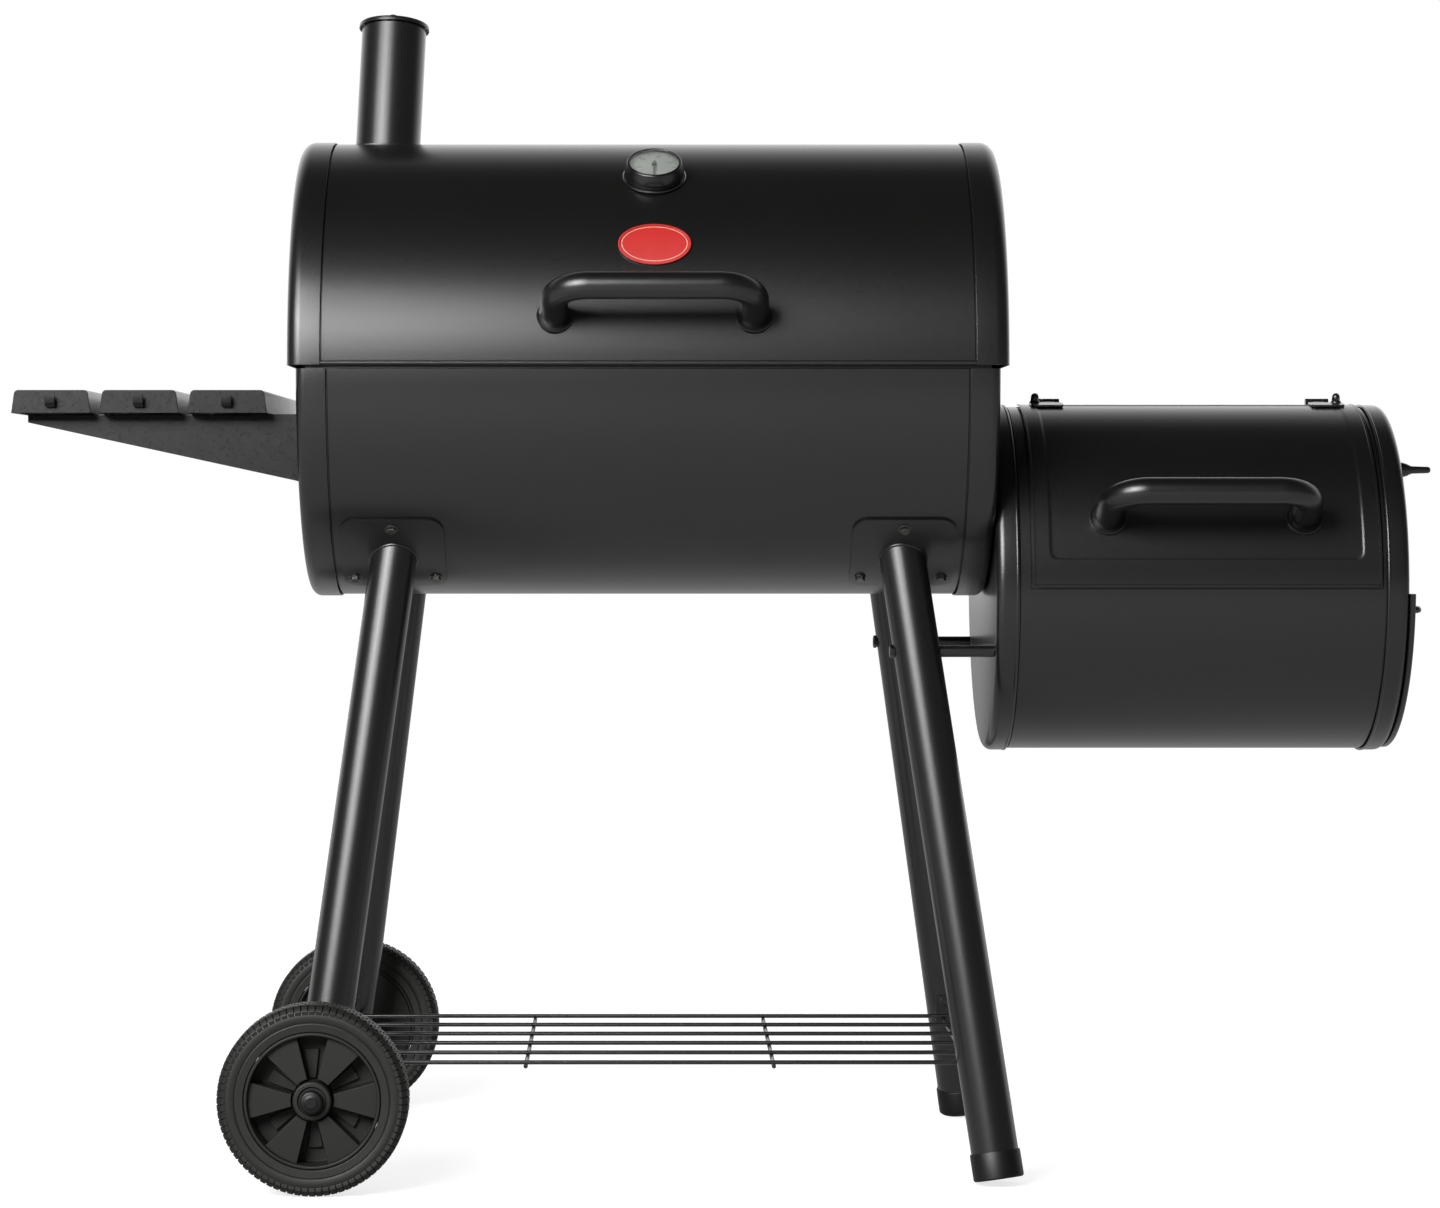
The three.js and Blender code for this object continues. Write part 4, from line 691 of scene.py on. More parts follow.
# The dial's silver white paint, matt, drawn down to a mid grey as painted shade in the cup;
# the black ink of its marks, and the pointer's dark paint.
dial_paint_painted_shade = finish_of("Silver white dial paint", "#6b6b68", "#7c7c78", 0.4, 0.04, 3.0, 0.002)
dial_ink = finish_of("Black dial ink", "#161616", "#1b1b1b", 0.5, 0.05, 2.0, 0.002)
pointer_paint = finish_of("Dark pointer paint", "#2a2a29", "#333231", 0.4, 0.05, 2.0, 0.002)
# Clear float glass, with the faintest green.
glass, tree = blank(bpy.data.materials, "Clear dial glass")
clear = add(tree, "ShaderNodeBsdfPrincipled", {
    "Base Color": linear("#f4f7f6"), "Roughness": 0.03, "IOR": 1.45, "Transmission Weight": 1.0})
add(tree, "ShaderNodeOutputMaterial", {"Surface": clear})
dial_place, dial_way = drum_place(LID_FEATURE_X, THERMOMETER_ELEVATION, LID_RADIUS)
dial_turn = Matrix((Vector(X_WAY), dial_way.cross(Vector(X_WAY)), dial_way)).transposed()
dial_frame = Matrix.Translation(dial_place) @ dial_turn.to_4x4()


def on_dial(profile, steps=96):
    """A profile turned about the thermometer's axis."""
    return turned(profile, dial_place, dial_way, steps)


probe = on_dial([(0, 2.0), (PROBE_RADIUS, 2.0), (PROBE_RADIUS, -55.0), (0, -55.0)], 32)
back_ring = on_dial([
    (PROBE_RADIUS, GAP), (FLANGE_RADIUS - 0.6, GAP), (FLANGE_RADIUS, 0.9), (FLANGE_RADIUS, 1.6),
    (FLANGE_RADIUS - 0.8, 2.2), (PROBE_RADIUS, 2.2)])
finished("thermometer_body", joined(back_ring, probe), "thermometer_case", body="lid",
         material=chrome, edge=0.0)
cup = on_dial([
    (PROBE_RADIUS, 2.0), (CASE_RADIUS + 0.4, 2.0), (CASE_RADIUS + 1.7, 3.6),
    (CASE_RADIUS + 2.3, 5.8), (CASE_RADIUS + 2.2, 8.2), (CASE_RADIUS + 1.5, 11.0),
    (CASE_RADIUS + 0.5, CASE_DEPTH - 3.2),
    *arc_points((CASE_RADIUS - 2.2, CASE_DEPTH - 2.4), 2.4, 0, 90, 8),
    *arc_points((DIAL_RADIUS + 1.0, CASE_DEPTH - 0.9), 0.9, 90, 180, 5),
    (DIAL_RADIUS + GAP, DIAL_FLOOR), (PROBE_RADIUS, DIAL_FLOOR)])
# The cup's gloss black is painted dark reflection, in place of its chrome mirroring the dark lid.
finished("thermometer_cup", cup, body="lid", material=cup_black_painted_reflection, edge=0.0)

ring_tree, entry = new_tree("Copies round an axis", pattern="Object", count="Int", step="Float",
                            start="Float")
spots = add(ring_tree, "GeometryNodeMeshLine", {"Count": entry["count"], "Offset": (0, 0, 0)},
            mode="OFFSET")
pattern = add(ring_tree, "GeometryNodeObjectInfo", {"Object": entry["pattern"]}, out="Geometry")
angle = add(ring_tree, "ShaderNodeMath", {0: add(ring_tree, "GeometryNodeInputIndex"),
                                          1: entry["step"], 2: entry["start"]},
            operation="MULTIPLY_ADD")
turn = add(ring_tree, "FunctionNodeEulerToRotation", {
    "Euler": add(ring_tree, "ShaderNodeCombineXYZ", {"Z": angle})})
ends_in(ring_tree, add(ring_tree, "GeometryNodeInstanceOnPoints", {
    "Points": spots, "Instance": pattern, "Rotation": turn}), entry["finish"])


def round_axis(pattern_tool, count, step, start, place, material):
    """Copies of a shell turned about its own z, then set in a frame."""
    holder = temporary(pattern_tool)
    tool = grown(ring_tree, [(0, 0, 0)], pattern=holder, count=count, step=math.radians(step),
                 start=math.radians(start), finish=material)
    bpy.data.objects.remove(holder)
    tool.transform(place)
    return tool


TICK_START = -135.0
FIGURES = (("100", -105.0), ("200", -45.0), ("300", 15.0), ("400", 75.0))
FIGURE_HEIGHT = 3.6
FIGURE_ORBIT = 15.2
dial_face = DIAL_FLOOR + GAP + 1.0
disc = on_dial([(0, DIAL_FLOOR + GAP), (DIAL_RADIUS, DIAL_FLOOR + GAP), (DIAL_RADIUS, dial_face),
                (1.6, dial_face), (1.6, dial_face + 0.5), (0, dial_face + 0.6)], 72)
# The dial's grey is painted shade over its silver white.
finished("dial_disc", disc, "thermometer_dial", body="lid", material=dial_paint_painted_shade, edge=0.0)
ink_low, ink_high = dial_face - 0.02, dial_face + 0.12
ticks = [round_axis(block((-half, start, ink_low), (half, 22.2, ink_high)), count, step,
                    TICK_START, dial_frame, dial_ink)
         for half, start, count, step in ((0.2, 19.8, 37, 7.5), (0.4, 18.0, 10, 30.0))]
scale_ring = on_dial([(22.2, ink_low), (22.6, ink_low), (22.6, ink_high), (22.2, ink_high)])
finished("dial_marks", joined(*ticks, scale_ring), body="lid", material=dial_ink, edge=0.0)


def figure(words, degrees):
    """Flat figures on the dial, upright when the pointer would stand there."""
    text = bpy.data.curves.new("figure", "FONT")
    text.body = words
    text.size = FIGURE_HEIGHT
    text.align_x = text.align_y = "CENTER"
    text.extrude = 0.05
    tool = evaluated(placed("figure", text))
    angle = math.radians(degrees)
    spot = Vector((FIGURE_ORBIT * math.sin(angle), FIGURE_ORBIT * math.cos(angle),
                   dial_face + 0.06))
    tool.transform(dial_frame @ Matrix.Translation(spot))
    return tool


finished("dial_figures", joined(*[figure(*place) for place in FIGURES]), body="lid",
         material=dial_ink, edge=0.0)

needle_z = dial_face + 0.7
blade = drawn([(x, y, needle_z) for x, y in (
    (-1.7, 6.0), (1.7, 6.0), (1.3, -8.0), (0.6, -19.0), (-0.6, -19.0), (-1.3, -8.0))], (0, 0, 0.5))
hub = upright([(0, needle_z - 0.2), (2.6, needle_z - 0.2), (2.6, needle_z + 0.8),
               (2.0, needle_z + 1.2), (0, needle_z + 1.3)], 40)
needle = joined(blade, hub)
needle.transform(dial_frame)
finished("dial_pointer", needle, "thermometer_needle", body="needle", material=pointer_paint,
         edge=0.1)
lens = on_dial([(0, CASE_DEPTH - 1.6), (DIAL_RADIUS, CASE_DEPTH - 1.6),
                (DIAL_RADIUS, CASE_DEPTH - 0.8), (0, CASE_DEPTH - 0.8)], 72)
finished("dial_glass", lens, "thermometer_lens", body="lid", material=glass, edge=0.0)

# Oval plate
# A thin stamped plate, bent to the lid and enamelled red, with a raised rim and one fine pale
# line inside it. It carries no lettering.
BADGE_ELEVATION = 30.3
BADGE_HALVES = (34.7, 23.0)
BADGE_RADIUS = LID_RADIUS + GAP + 1.5
BADGE_RIM = 1.6
BADGE_LINE = 3.2
red_enamel = finish_of("Red enamel", "#b5120b", "#c4180f", 0.36, 0.02, 4.0, 0.001, drift=15.0)
# The line is printed in cream enamel, matt and slightly uneven.
cream_enamel = finish_of("Cream enamel line", "#cda58c", "#d8b39b", 0.45, 0.03, 2.0, 0.001)
badge_arc = on_drum(BADGE_RADIUS, BADGE_ELEVATION)


def oval(inset, steps=72):
    turns = [2 * math.pi * i / steps for i in range(steps)]
    return [(LID_FEATURE_X + (BADGE_HALVES[0] - inset) * math.cos(turn),
             badge_arc + (BADGE_HALVES[1] - inset) * math.sin(turn)) for turn in turns]


plate = bent_sheet([oval(0.4)], BADGE_RADIUS, 1.4)
rim_ring = bent_sheet([oval(0.0), oval(BADGE_RIM)], BADGE_RADIUS + 0.8, 1.6)
finished("oval_plate", joined(plate, rim_ring), "badge_plate", body="lid", material=red_enamel,
         edge=0.35)
fine_line = bent_sheet([oval(BADGE_LINE), oval(BADGE_LINE + 0.7)], BADGE_RADIUS + 0.15, 0.25)
finished("oval_plate_line", fine_line, body="lid", material=cream_enamel, edge=0.0)

# Chimney
# A rolled tube through the lid on a bent ring flange, with a pressed cap that swings open on a
# domed screw at its front.
CHIMNEY_HEIGHT = 130.0
CHIMNEY_INSIDE = 9.0
FLANGE_OUTER = 46.0
CAP_OVERHANG = 3.0
SCREW_INSET = 7.0
chimney_base = drum_place(CHIMNEY_X, 90 + CHIMNEY_BACK, LID_RADIUS)[0]
lean, back = math.radians(CHIMNEY_LEAN), math.radians(CHIMNEY_BACK)
chimney_way = Vector((math.sin(lean), math.cos(lean) * math.sin(back),
                      math.cos(lean) * math.cos(back)))
bore = CHIMNEY_RADIUS - 1.8
pipe = turned([(bore, -CHIMNEY_INSIDE), (CHIMNEY_RADIUS, -CHIMNEY_INSIDE),
               (CHIMNEY_RADIUS, CHIMNEY_HEIGHT), (bore, CHIMNEY_HEIGHT)],
              chimney_base, chimney_way, 128)
screw_way = (Vector((0, -1, 0)) + chimney_way * chimney_way.y).normalized()
screw_seat = chimney_base + screw_way * (CHIMNEY_RADIUS - SCREW_INSET)
boss = turned([(0, CHIMNEY_HEIGHT - 14), (6, CHIMNEY_HEIGHT - 14), (6, CHIMNEY_HEIGHT),
               (0, CHIMNEY_HEIGHT)], screw_seat, chimney_way, 32)
finished("chimney_pipe", joined(pipe, boss), "chimney_tube", body="lid")
flange_radius = LID_RADIUS + GAP + 2.0
flange_middle = (CHIMNEY_X, on_drum(flange_radius, 90 + CHIMNEY_BACK))
flange = bent_sheet([circle(flange_middle, FLANGE_OUTER, 64),
                     circle(flange_middle, CHIMNEY_RADIUS + 0.5, 64)], flange_radius, 2.0)
finished("chimney_foot_ring", flange, "chimney_flange", body="lid")
cap_radius = CHIMNEY_RADIUS + CAP_OVERHANG
cap_base = CHIMNEY_HEIGHT + 2 * GAP
cover = turned([(0, 3.2), (cap_radius - 2.4, 3.2), (cap_radius - 1.4, 2.4),
                (cap_radius - 1.2, 0), (cap_radius, 0),
                *arc_points((cap_radius - 2.0, 2.6), 2.0, 0, 90, 6), (0, 4.6)],
               chimney_base + chimney_way * cap_base, chimney_way, 128)
finished("chimney_cover_plate", cover, "chimney_cap", body="chimney_cover", edge=0.0)
head_z = cap_base + 4.6
dome = [(radius, head_z + 0.6 + rise * 0.5) for radius, rise in arc_points((0, 0), 5.0, 0, 90, 8)]
screw = turned([(0, head_z - 18), (2.5, head_z - 18), (2.5, head_z), (5.0, head_z), *dome],
               screw_seat, chimney_way, 40)
finished("chimney_cover_screw", screw, "chimney_cap_screw", body="lid", material=black_oxide,
         edge=0.0)

# Firebox drum
# A smaller barrel of the same sheet, with an opening in front that the door laps over, two
# runners inside for the ash drawer, and pressed caps at both ends.
FIREBOX_LEFT = BARREL_X + BARREL_HALF + GAP
FIREBOX_LENGTH = 395.3
FIREBOX_RIGHT = FIREBOX_LEFT + FIREBOX_LENGTH
FIREBOX_SKIRT = 21.5
FIREBOX_BEAD = 0.7
FIREBOX_CORNER = 8.0
DOOR_LAP = 14.0
DOOR_LEFT = FIREBOX_LEFT + FIREBOX_SKIRT + 13.0
DOOR_RIGHT = FIREBOX_RIGHT - FIREBOX_SKIRT - 6.0
DOOR_DROP = 6.5
DOOR_CORNER = 8.0
WELD_LINE = -172.0
RUNNER_ANGLE = 28.0
RUNNER_WIDTH = 9.0
DRAWER_RADIUS = 160.0
door_low = math.degrees(math.asin(-DOOR_DROP / (FIREBOX_RADIUS + GAP + 2.0)))
fire_ends = (FIREBOX_LEFT + FIREBOX_CORNER, FIREBOX_RIGHT - FIREBOX_CORNER)
fire_outline = rectangle(*fire_ends, on_drum(FIREBOX_RADIUS, WELD_LINE),
                         on_drum(FIREBOX_RADIUS, WELD_LINE + 360) - 0.02)
fire_hole = rectangle(DOOR_LEFT + DOOR_LAP, DOOR_RIGHT - DOOR_LAP,
                      on_drum(FIREBOX_RADIUS, door_low) + DOOR_LAP,
                      on_drum(FIREBOX_RADIUS, 80.5), DOOR_CORNER)
fire_seam, fire_lines = seam((FIREBOX_LEFT + FIREBOX_RIGHT) / 2,
                             FIREBOX_LENGTH / 2 - FIREBOX_SKIRT)
# The drum is set in a little under the door, so that the door's edge draws a dark line.
DOOR_SEAT = 2.0
SEAT_DEPTH = 1.4
seat_low = on_drum(FIREBOX_RADIUS, door_low) - DOOR_SEAT
seat_high = on_drum(FIREBOX_RADIUS, 90) + 5.0
fire_lines += [(kind, edge + way * run) for kind, edge, way in (
    ("x", DOOR_LEFT - DOOR_SEAT, 1), ("x", DOOR_RIGHT + DOOR_SEAT, -1), ("arc", seat_low, 1),
    ("arc", seat_high, -1)) for run in (0, STEP_RUN)]


def door_seat(x, arc):
    inside = min(x - DOOR_LEFT + DOOR_SEAT, DOOR_RIGHT + DOOR_SEAT - x, arc - seat_low,
                 seat_high - arc)
    return min(-SEAT_DEPTH * share_of(inside), fire_seam(x, arc))


parts = [bent_sheet([fire_outline, fire_hole], FIREBOX_RADIUS, SKIN_WALL, FIREBOX_Z, fire_lines,
                    door_seat)]
for side in (-1, 1):
    middle = on_drum(DRAWER_RADIUS + GAP, -90 + side * RUNNER_ANGLE)
    parts.append(bent_sheet([rectangle(*fire_ends, middle - RUNNER_WIDTH / 2,
                                       middle + RUNNER_WIDTH / 2)],
                            FIREBOX_RADIUS - SKIN_WALL,
                            FIREBOX_RADIUS - SKIN_WALL - DRAWER_RADIUS - GAP, FIREBOX_Z))
finished("firebox_drum", joined(*parts), "firebox_skin")

# Firebox end caps
# The left one shares the smoke passage with the barrel. The right one has three air vents, a
# hole for the damper's rivet and the mouth that the ash drawer slides through.
DAMPER_Y = -75.0
DAMPER_Z = FIREBOX_Z + 75.0
VENT_RADIUS = 13.0
VENT_ORBIT = 28.0
VENT_TURN = 45.0
DRAWER_TOP = 22.0


def vents(turn, start, length):
    """The three round vents as cutters along x."""
    angles = [math.radians(turn + 120 * i) for i in range(3)]
    return [bar(VENT_RADIUS, (start, DAMPER_Y + VENT_ORBIT * math.cos(angle),
                              DAMPER_Z + VENT_ORBIT * math.sin(angle)), X_WAY, length, 40)
            for angle in angles]


left_cap, right_cap = [end_cap(FIREBOX_RADIUS, FIREBOX_SKIRT, FIREBOX_CORNER, face, side,
                               FIREBOX_Z, FIREBOX_BEAD)
                       for face, side in ((FIREBOX_LEFT, -1), (FIREBOX_RIGHT, 1))]
finished("firebox_cap_left", carved(left_cap, smoke_passage()), "firebox_end_left")
mouth = bar(DRAWER_RADIUS + 2 * GAP, (FIREBOX_RIGHT - FIREBOX_CORNER / 2, 0, FIREBOX_Z), X_WAY,
            1.5 * FIREBOX_CORNER, CAP_STEPS)
mouth = sliced(mouth, FIREBOX_Z - DRAWER_TOP + 1.0, True)
rivet_hole = bar(4.3, (FIREBOX_RIGHT - 6, DAMPER_Y, DAMPER_Z), X_WAY, 12)
right_cap = carved(right_cap, mouth, rivet_hole,
                   *vents(VENT_TURN, FIREBOX_RIGHT - FIREBOX_CORNER / 2, FIREBOX_CORNER))
finished("firebox_cap_right", right_cap, "firebox_end_right")

# Ash drawer
# A welded trough that slides in under the firebox grate, with a thick front plate and a bent
# wire pull.
DRAWER_LENGTH = 350.0
DRAWER_WALL = 1.5
FRONT_RADIUS = 169.0
FRONT_TOP = 13.0
FRONT_WALL = 5.6
PULL_HALF = 55.0
PULL_RADIUS = 3.5
PULL_DROP = 31.0
face_x = FIREBOX_RIGHT + GAP
inside = DRAWER_RADIUS - DRAWER_WALL
trough = turned([(0, 0), (DRAWER_RADIUS, 0), (DRAWER_RADIUS, DRAWER_LENGTH + 1),
                 (0, DRAWER_LENGTH + 1), (0, DRAWER_LENGTH), (inside, DRAWER_LENGTH),
                 (inside, DRAWER_WALL), (0, DRAWER_WALL)],
                (face_x - DRAWER_LENGTH, 0, FIREBOX_Z), X_WAY, CAP_STEPS)
front_plate = turned([(0, 0), (FRONT_RADIUS - 1, 0), (FRONT_RADIUS, 1),
                      (FRONT_RADIUS, FRONT_WALL - 1.5), (FRONT_RADIUS - 1.5, FRONT_WALL),
                      (0, FRONT_WALL)], (face_x, 0, FIREBOX_Z), X_WAY, CAP_STEPS)
tip = span("ash_drawer", 0)[1] - PULL_RADIUS
pull = tubes([[(x, y, FIREBOX_Z - PULL_DROP) for x, y in (
    (face_x + 1, -PULL_HALF), (tip, -PULL_HALF), (tip, PULL_HALF), (face_x + 1, PULL_HALF))]],
             PULL_RADIUS, 10.0, sides=24)
finished("drawer_tray", joined(sliced(trough, FIREBOX_Z - DRAWER_TOP, True),
                               sliced(front_plate, FIREBOX_Z - FRONT_TOP, True), pull),
         "ash_drawer", body="drawer", edge=0.5)

# Air damper
# A holed disc held by a rivet over the vents, turned by a cast knob near its rim.
DAMPER_RADIUS = 52.0
DAMPER_WALL = 1.6
KNOB_ORBIT = 44.0
KNOB_ANGLE = 135.0
disc = carved(bar(DAMPER_RADIUS, (face_x, DAMPER_Y, DAMPER_Z), X_WAY, DAMPER_WALL, 96),
              *vents(VENT_TURN + 60, face_x - 5, 12))
rivet = turned([(0, -5.0), (8, -5.0), (8, -3.6), (4, -2.0), (4, 1.6), (8, 1.6),
                *arc_points((4.0, 1.6), 4.0, 0, 90, 6)[1:], (0, 5.6)],
               (face_x, DAMPER_Y, DAMPER_Z), X_WAY, 40)
knob_turn = math.radians(KNOB_ANGLE)
knob = turned([(0, 0), (7.6, 0), (7.2, 4.0), (6.0, 8.0), (4.4, 11.0), (3.7, 13.0), (3.4, 20.0),
               (3.2, 28.0), (2.6, 30.2), (1.4, 31.0), (0, 31.0)],
              (face_x, DAMPER_Y + KNOB_ORBIT * math.cos(knob_turn),
               DAMPER_Z + KNOB_ORBIT * math.sin(knob_turn)), X_WAY, 40)
finished("damper_disc", joined(disc, rivet, knob), "air_damper", body="damper")

# Firebox door
# A rolled sheet that laps over the opening, with a shallow pressed panel, the same bar handle as
# the lid, and two small hinges on top.
DOOR_WALL = 2.0
DOOR_RADIUS = FIREBOX_RADIUS + GAP + DOOR_WALL
DOOR_BACK = 3.0
DOOR_HANDLE_ELEVATION = 20.4
PANEL_SIDE = 15.6
PANEL_LOW = 25.5
PANEL_CORNER = 9.0
PANEL_DEPTH = 0.7
PANEL_SLOPE = 3.0
PANEL_TOP = 84.0
HEM_WIDTH = 2.6
HEM_RISE = 0.6
door_bottom = on_drum(DOOR_RADIUS, door_low)
panel = (DOOR_LEFT + PANEL_SIDE, DOOR_RIGHT - PANEL_SIDE, door_bottom + PANEL_LOW,
         on_drum(DOOR_RADIUS, PANEL_TOP))


def pressed(x, arc):
    """How far the panel is pressed in at a point."""
    left, right, low, high = panel
    across = abs(x - (left + right) / 2) - (right - left) / 2 + PANEL_CORNER
    along = abs(arc - (low + high) / 2) - (high - low) / 2 + PANEL_CORNER
    outside = math.hypot(max(across, 0), max(along, 0)) + min(max(across, along), 0)
    share = min(max((PANEL_CORNER - outside) / PANEL_SLOPE, 0), 1)
    rim = min(x - DOOR_LEFT, DOOR_RIGHT - x, arc - door_bottom)
    return HEM_RISE * share_of(HEM_WIDTH - rim) - PANEL_DEPTH * share * share * (3 - 2 * share)


door_outline = rectangle(DOOR_LEFT, DOOR_RIGHT, door_bottom, on_drum(DOOR_RADIUS, 90) + DOOR_BACK,
                         DOOR_CORNER)
door_lines = [(kind, place + way * shift)
              for place, way, kind in zip(panel, (1, -1, 1, -1), ("x", "x", "arc", "arc"))
              for shift in (*[i * 0.65 for i in range(-1, 6)], 5.0, 7.0, 9.5)]
for run in (HEM_WIDTH, HEM_WIDTH - STEP_RUN):
    door_lines += [("x", DOOR_LEFT + run), ("x", DOOR_RIGHT - run), ("arc", door_bottom + run)]
finished("door_panel", bent_sheet([door_outline], DOOR_RADIUS, DOOR_WALL, FIREBOX_Z, door_lines,
                                  pressed), "firebox_door", body="door", edge=0.5)
finished("door_bar_handle", bar_handle((DOOR_LEFT + DOOR_RIGHT) / 2, DOOR_RADIUS,
                                       DOOR_HANDLE_ELEVATION, FIREBOX_Z), "firebox_door_handle",
         body="door", material=heat_paint, edge=0.0)

# Door hinges
# Small bent leaves with a pin through their knuckles, each held to the door by a closed nut.
DOOR_HINGE_Y = 12.0
DOOR_HINGE_Z = FIREBOX_Z + 175.0
DOOR_KNUCKLE = 3.5
DOOR_HINGE_WIDTH = 23.0
DOOR_HINGE_INSET = 20.5
DOOR_TAB = 9.0
DOOR_LEAF_REACH = 30.0
FIXED_LEAF_REACH = 26.0
NUT_INSET = 5.4
for name, side in ENDS:
    outer = DOOR_LEFT + DOOR_HINGE_INSET if side < 0 else DOOR_RIGHT - DOOR_HINGE_INSET
    start, stop = sorted((outer, outer - side * DOOR_HINGE_WIDTH))
    quarter = DOOR_HINGE_WIDTH / 4
    leaf_radius = DOOR_RADIUS + GAP + 2.0
    edge_arc = on_drum(leaf_radius, 90) - 5.0
    tab = sorted((outer + side * DOOR_TAB, outer - side * DOOR_HINGE_WIDTH))

    def eye(left, right):
        return bar(DOOR_KNUCKLE, (left, DOOR_HINGE_Y, DOOR_HINGE_Z), X_WAY, right - left)

    inner = (start + quarter + GAP, stop - quarter - GAP)
    leaf = bent_sheet([rectangle(*tab, edge_arc - DOOR_LEAF_REACH, edge_arc, 3.0)], leaf_radius,
                      2.0, FIREBOX_Z)
    web = ribbed([(-5, FIREBOX_Z + DOOR_RADIUS + GAP), (DOOR_HINGE_Y, DOOR_HINGE_Z - 2.6),
                  (DOOR_HINGE_Y, DOOR_HINGE_Z + 1.2), (-5, FIREBOX_Z + leaf_radius)], *inner)
    finished(f"door_hinge_{name}", joined(leaf, web, eye(*inner)), f"door_hinge_leaf_{name}",
             body="door", edge=0.3)
    fasteners(f"door_hinge_nut_{name}", [
        drum_place(outer + side * (DOOR_TAB - NUT_INSET), 90 - arc_degrees(13.0, DOOR_RADIUS),
                   leaf_radius, FIREBOX_Z)], "door", pattern=dome_nut)
    fixed_radius = FIREBOX_RADIUS + GAP + 2.0
    fixed_arc = on_drum(fixed_radius, 90) + DOOR_HINGE_Y
    parts = [bent_sheet([rectangle(start, stop, fixed_arc + 4.4, fixed_arc + FIXED_LEAF_REACH,
                                   3.0)], fixed_radius, 2.0, FIREBOX_Z)]
    for left, right in ((start, start + quarter), (stop - quarter, stop)):
        parts += [bent_sheet([rectangle(left, right, fixed_arc, fixed_arc + 8.0)], fixed_radius,
                             2.0, FIREBOX_Z), eye(left, right)]
    finished(f"firebox_hinge_{name}", joined(*parts), f"firebox_hinge_leaf_{name}", edge=0.3)

# Legs
# Round steel tubes, splayed outwards and welded to curved saddle plates that are bolted to the
# barrel. The left pair carries the axle, and the right pair stands in moulded caps.
SIDES = (("front", -1), ("rear", 1))
LEG_RADIUS = 22.5
LEG_WALL = 1.8
LEG_TOP = Vector((246.0, 125.0, 589.0))
FOOT = Vector((331.0, 218.0, 0.0))
AXLE_X = 311.5
AXLE_Y = 204.0
WHEEL_RADIUS = 89.0
LEG_TAIL = 26.0
FOOT_RADIUS = 24.0
FOOT_HEIGHT = 26.0
SADDLE_ELEVATION = 56.0
SADDLE_HALVES = (50.0, 58.0)
SADDLE_CORNER = 16.0
SADDLE_WALL = 2.5
SADDLE_BOLTS = ((0.0, 46.0), (-39.5, -35.0), (39.5, -35.0))
LEG_SIDES = 72
# Moulded black plastic: nearly matt, with the fine spark-eroded grain of its mould.
black_plastic = finish_of("Moulded black plastic", "#0c0c0c", "#101010", 0.45, 0.04, 1.5, 0.008,
                          specular=0.14)


def leg_line(side_x, side_y):
    """The lower end of a leg and the way up it."""
    top = Vector((BARREL_X + side_x * LEG_TOP.x, side_y * LEG_TOP.y, LEG_TOP.z))
    if side_x < 0:
        hub = Vector((BARREL_X - AXLE_X, side_y * AXLE_Y, WHEEL_RADIUS))
        up = (top - hub).normalized()
        return hub - up * LEG_TAIL, up
    slope = math.hypot(FOOT.x - LEG_TOP.x, FOOT.y - LEG_TOP.y) / LEG_TOP.z
    lift = FOOT_RADIUS * slope / math.hypot(1, slope)
    bottom = Vector((BARREL_X + FOOT.x, side_y * FOOT.y, lift))
    return bottom, (top - bottom).normalized()


def seat_on_barrel(point, up, radius):
    """Where the line from a point going up first meets a circle round the barrel's axis."""
    y, z = point.y, point.z - BARREL_Z
    a = up.y ** 2 + up.z ** 2
    b = y * up.y + z * up.z
    c = y * y + z * z - radius * radius
    return point + up * ((-b - math.sqrt(max(b * b - a * c, 0.0))) / a)


def leg_tube(bottom, up, start):
    """A tube whose upper end is cut to the barrel, and the ring where it is welded."""
    across = up.cross(Vector((0, 1, 0))).normalized()
    over = up.cross(across)
    tool = bmesh.new()
    rings, weld = [], []
    for i in range(LEG_SIDES):
        turn = 2 * math.pi * i / LEG_SIDES
        way = across * math.cos(turn) + over * math.sin(turn)
        outer, inner = [bottom + up * start + way * reach
                        for reach in (LEG_RADIUS, LEG_RADIUS - LEG_WALL)]
        top, inner_top = [seat_on_barrel(point, up, saddle_radius) for point in (outer, inner)]
        weld.append(top)
        rings.append([tool.verts.new(place) for place in (outer, top, inner_top, inner)])
    for one, two in zip(rings, rings[1:] + rings[:1]):
        for k in range(4):
            tool.faces.new([one[k], two[k], two[(k + 1) % 4], one[(k + 1) % 4]])
    bmesh.ops.recalc_face_normals(tool, faces=tool.faces)
    return tool, weld


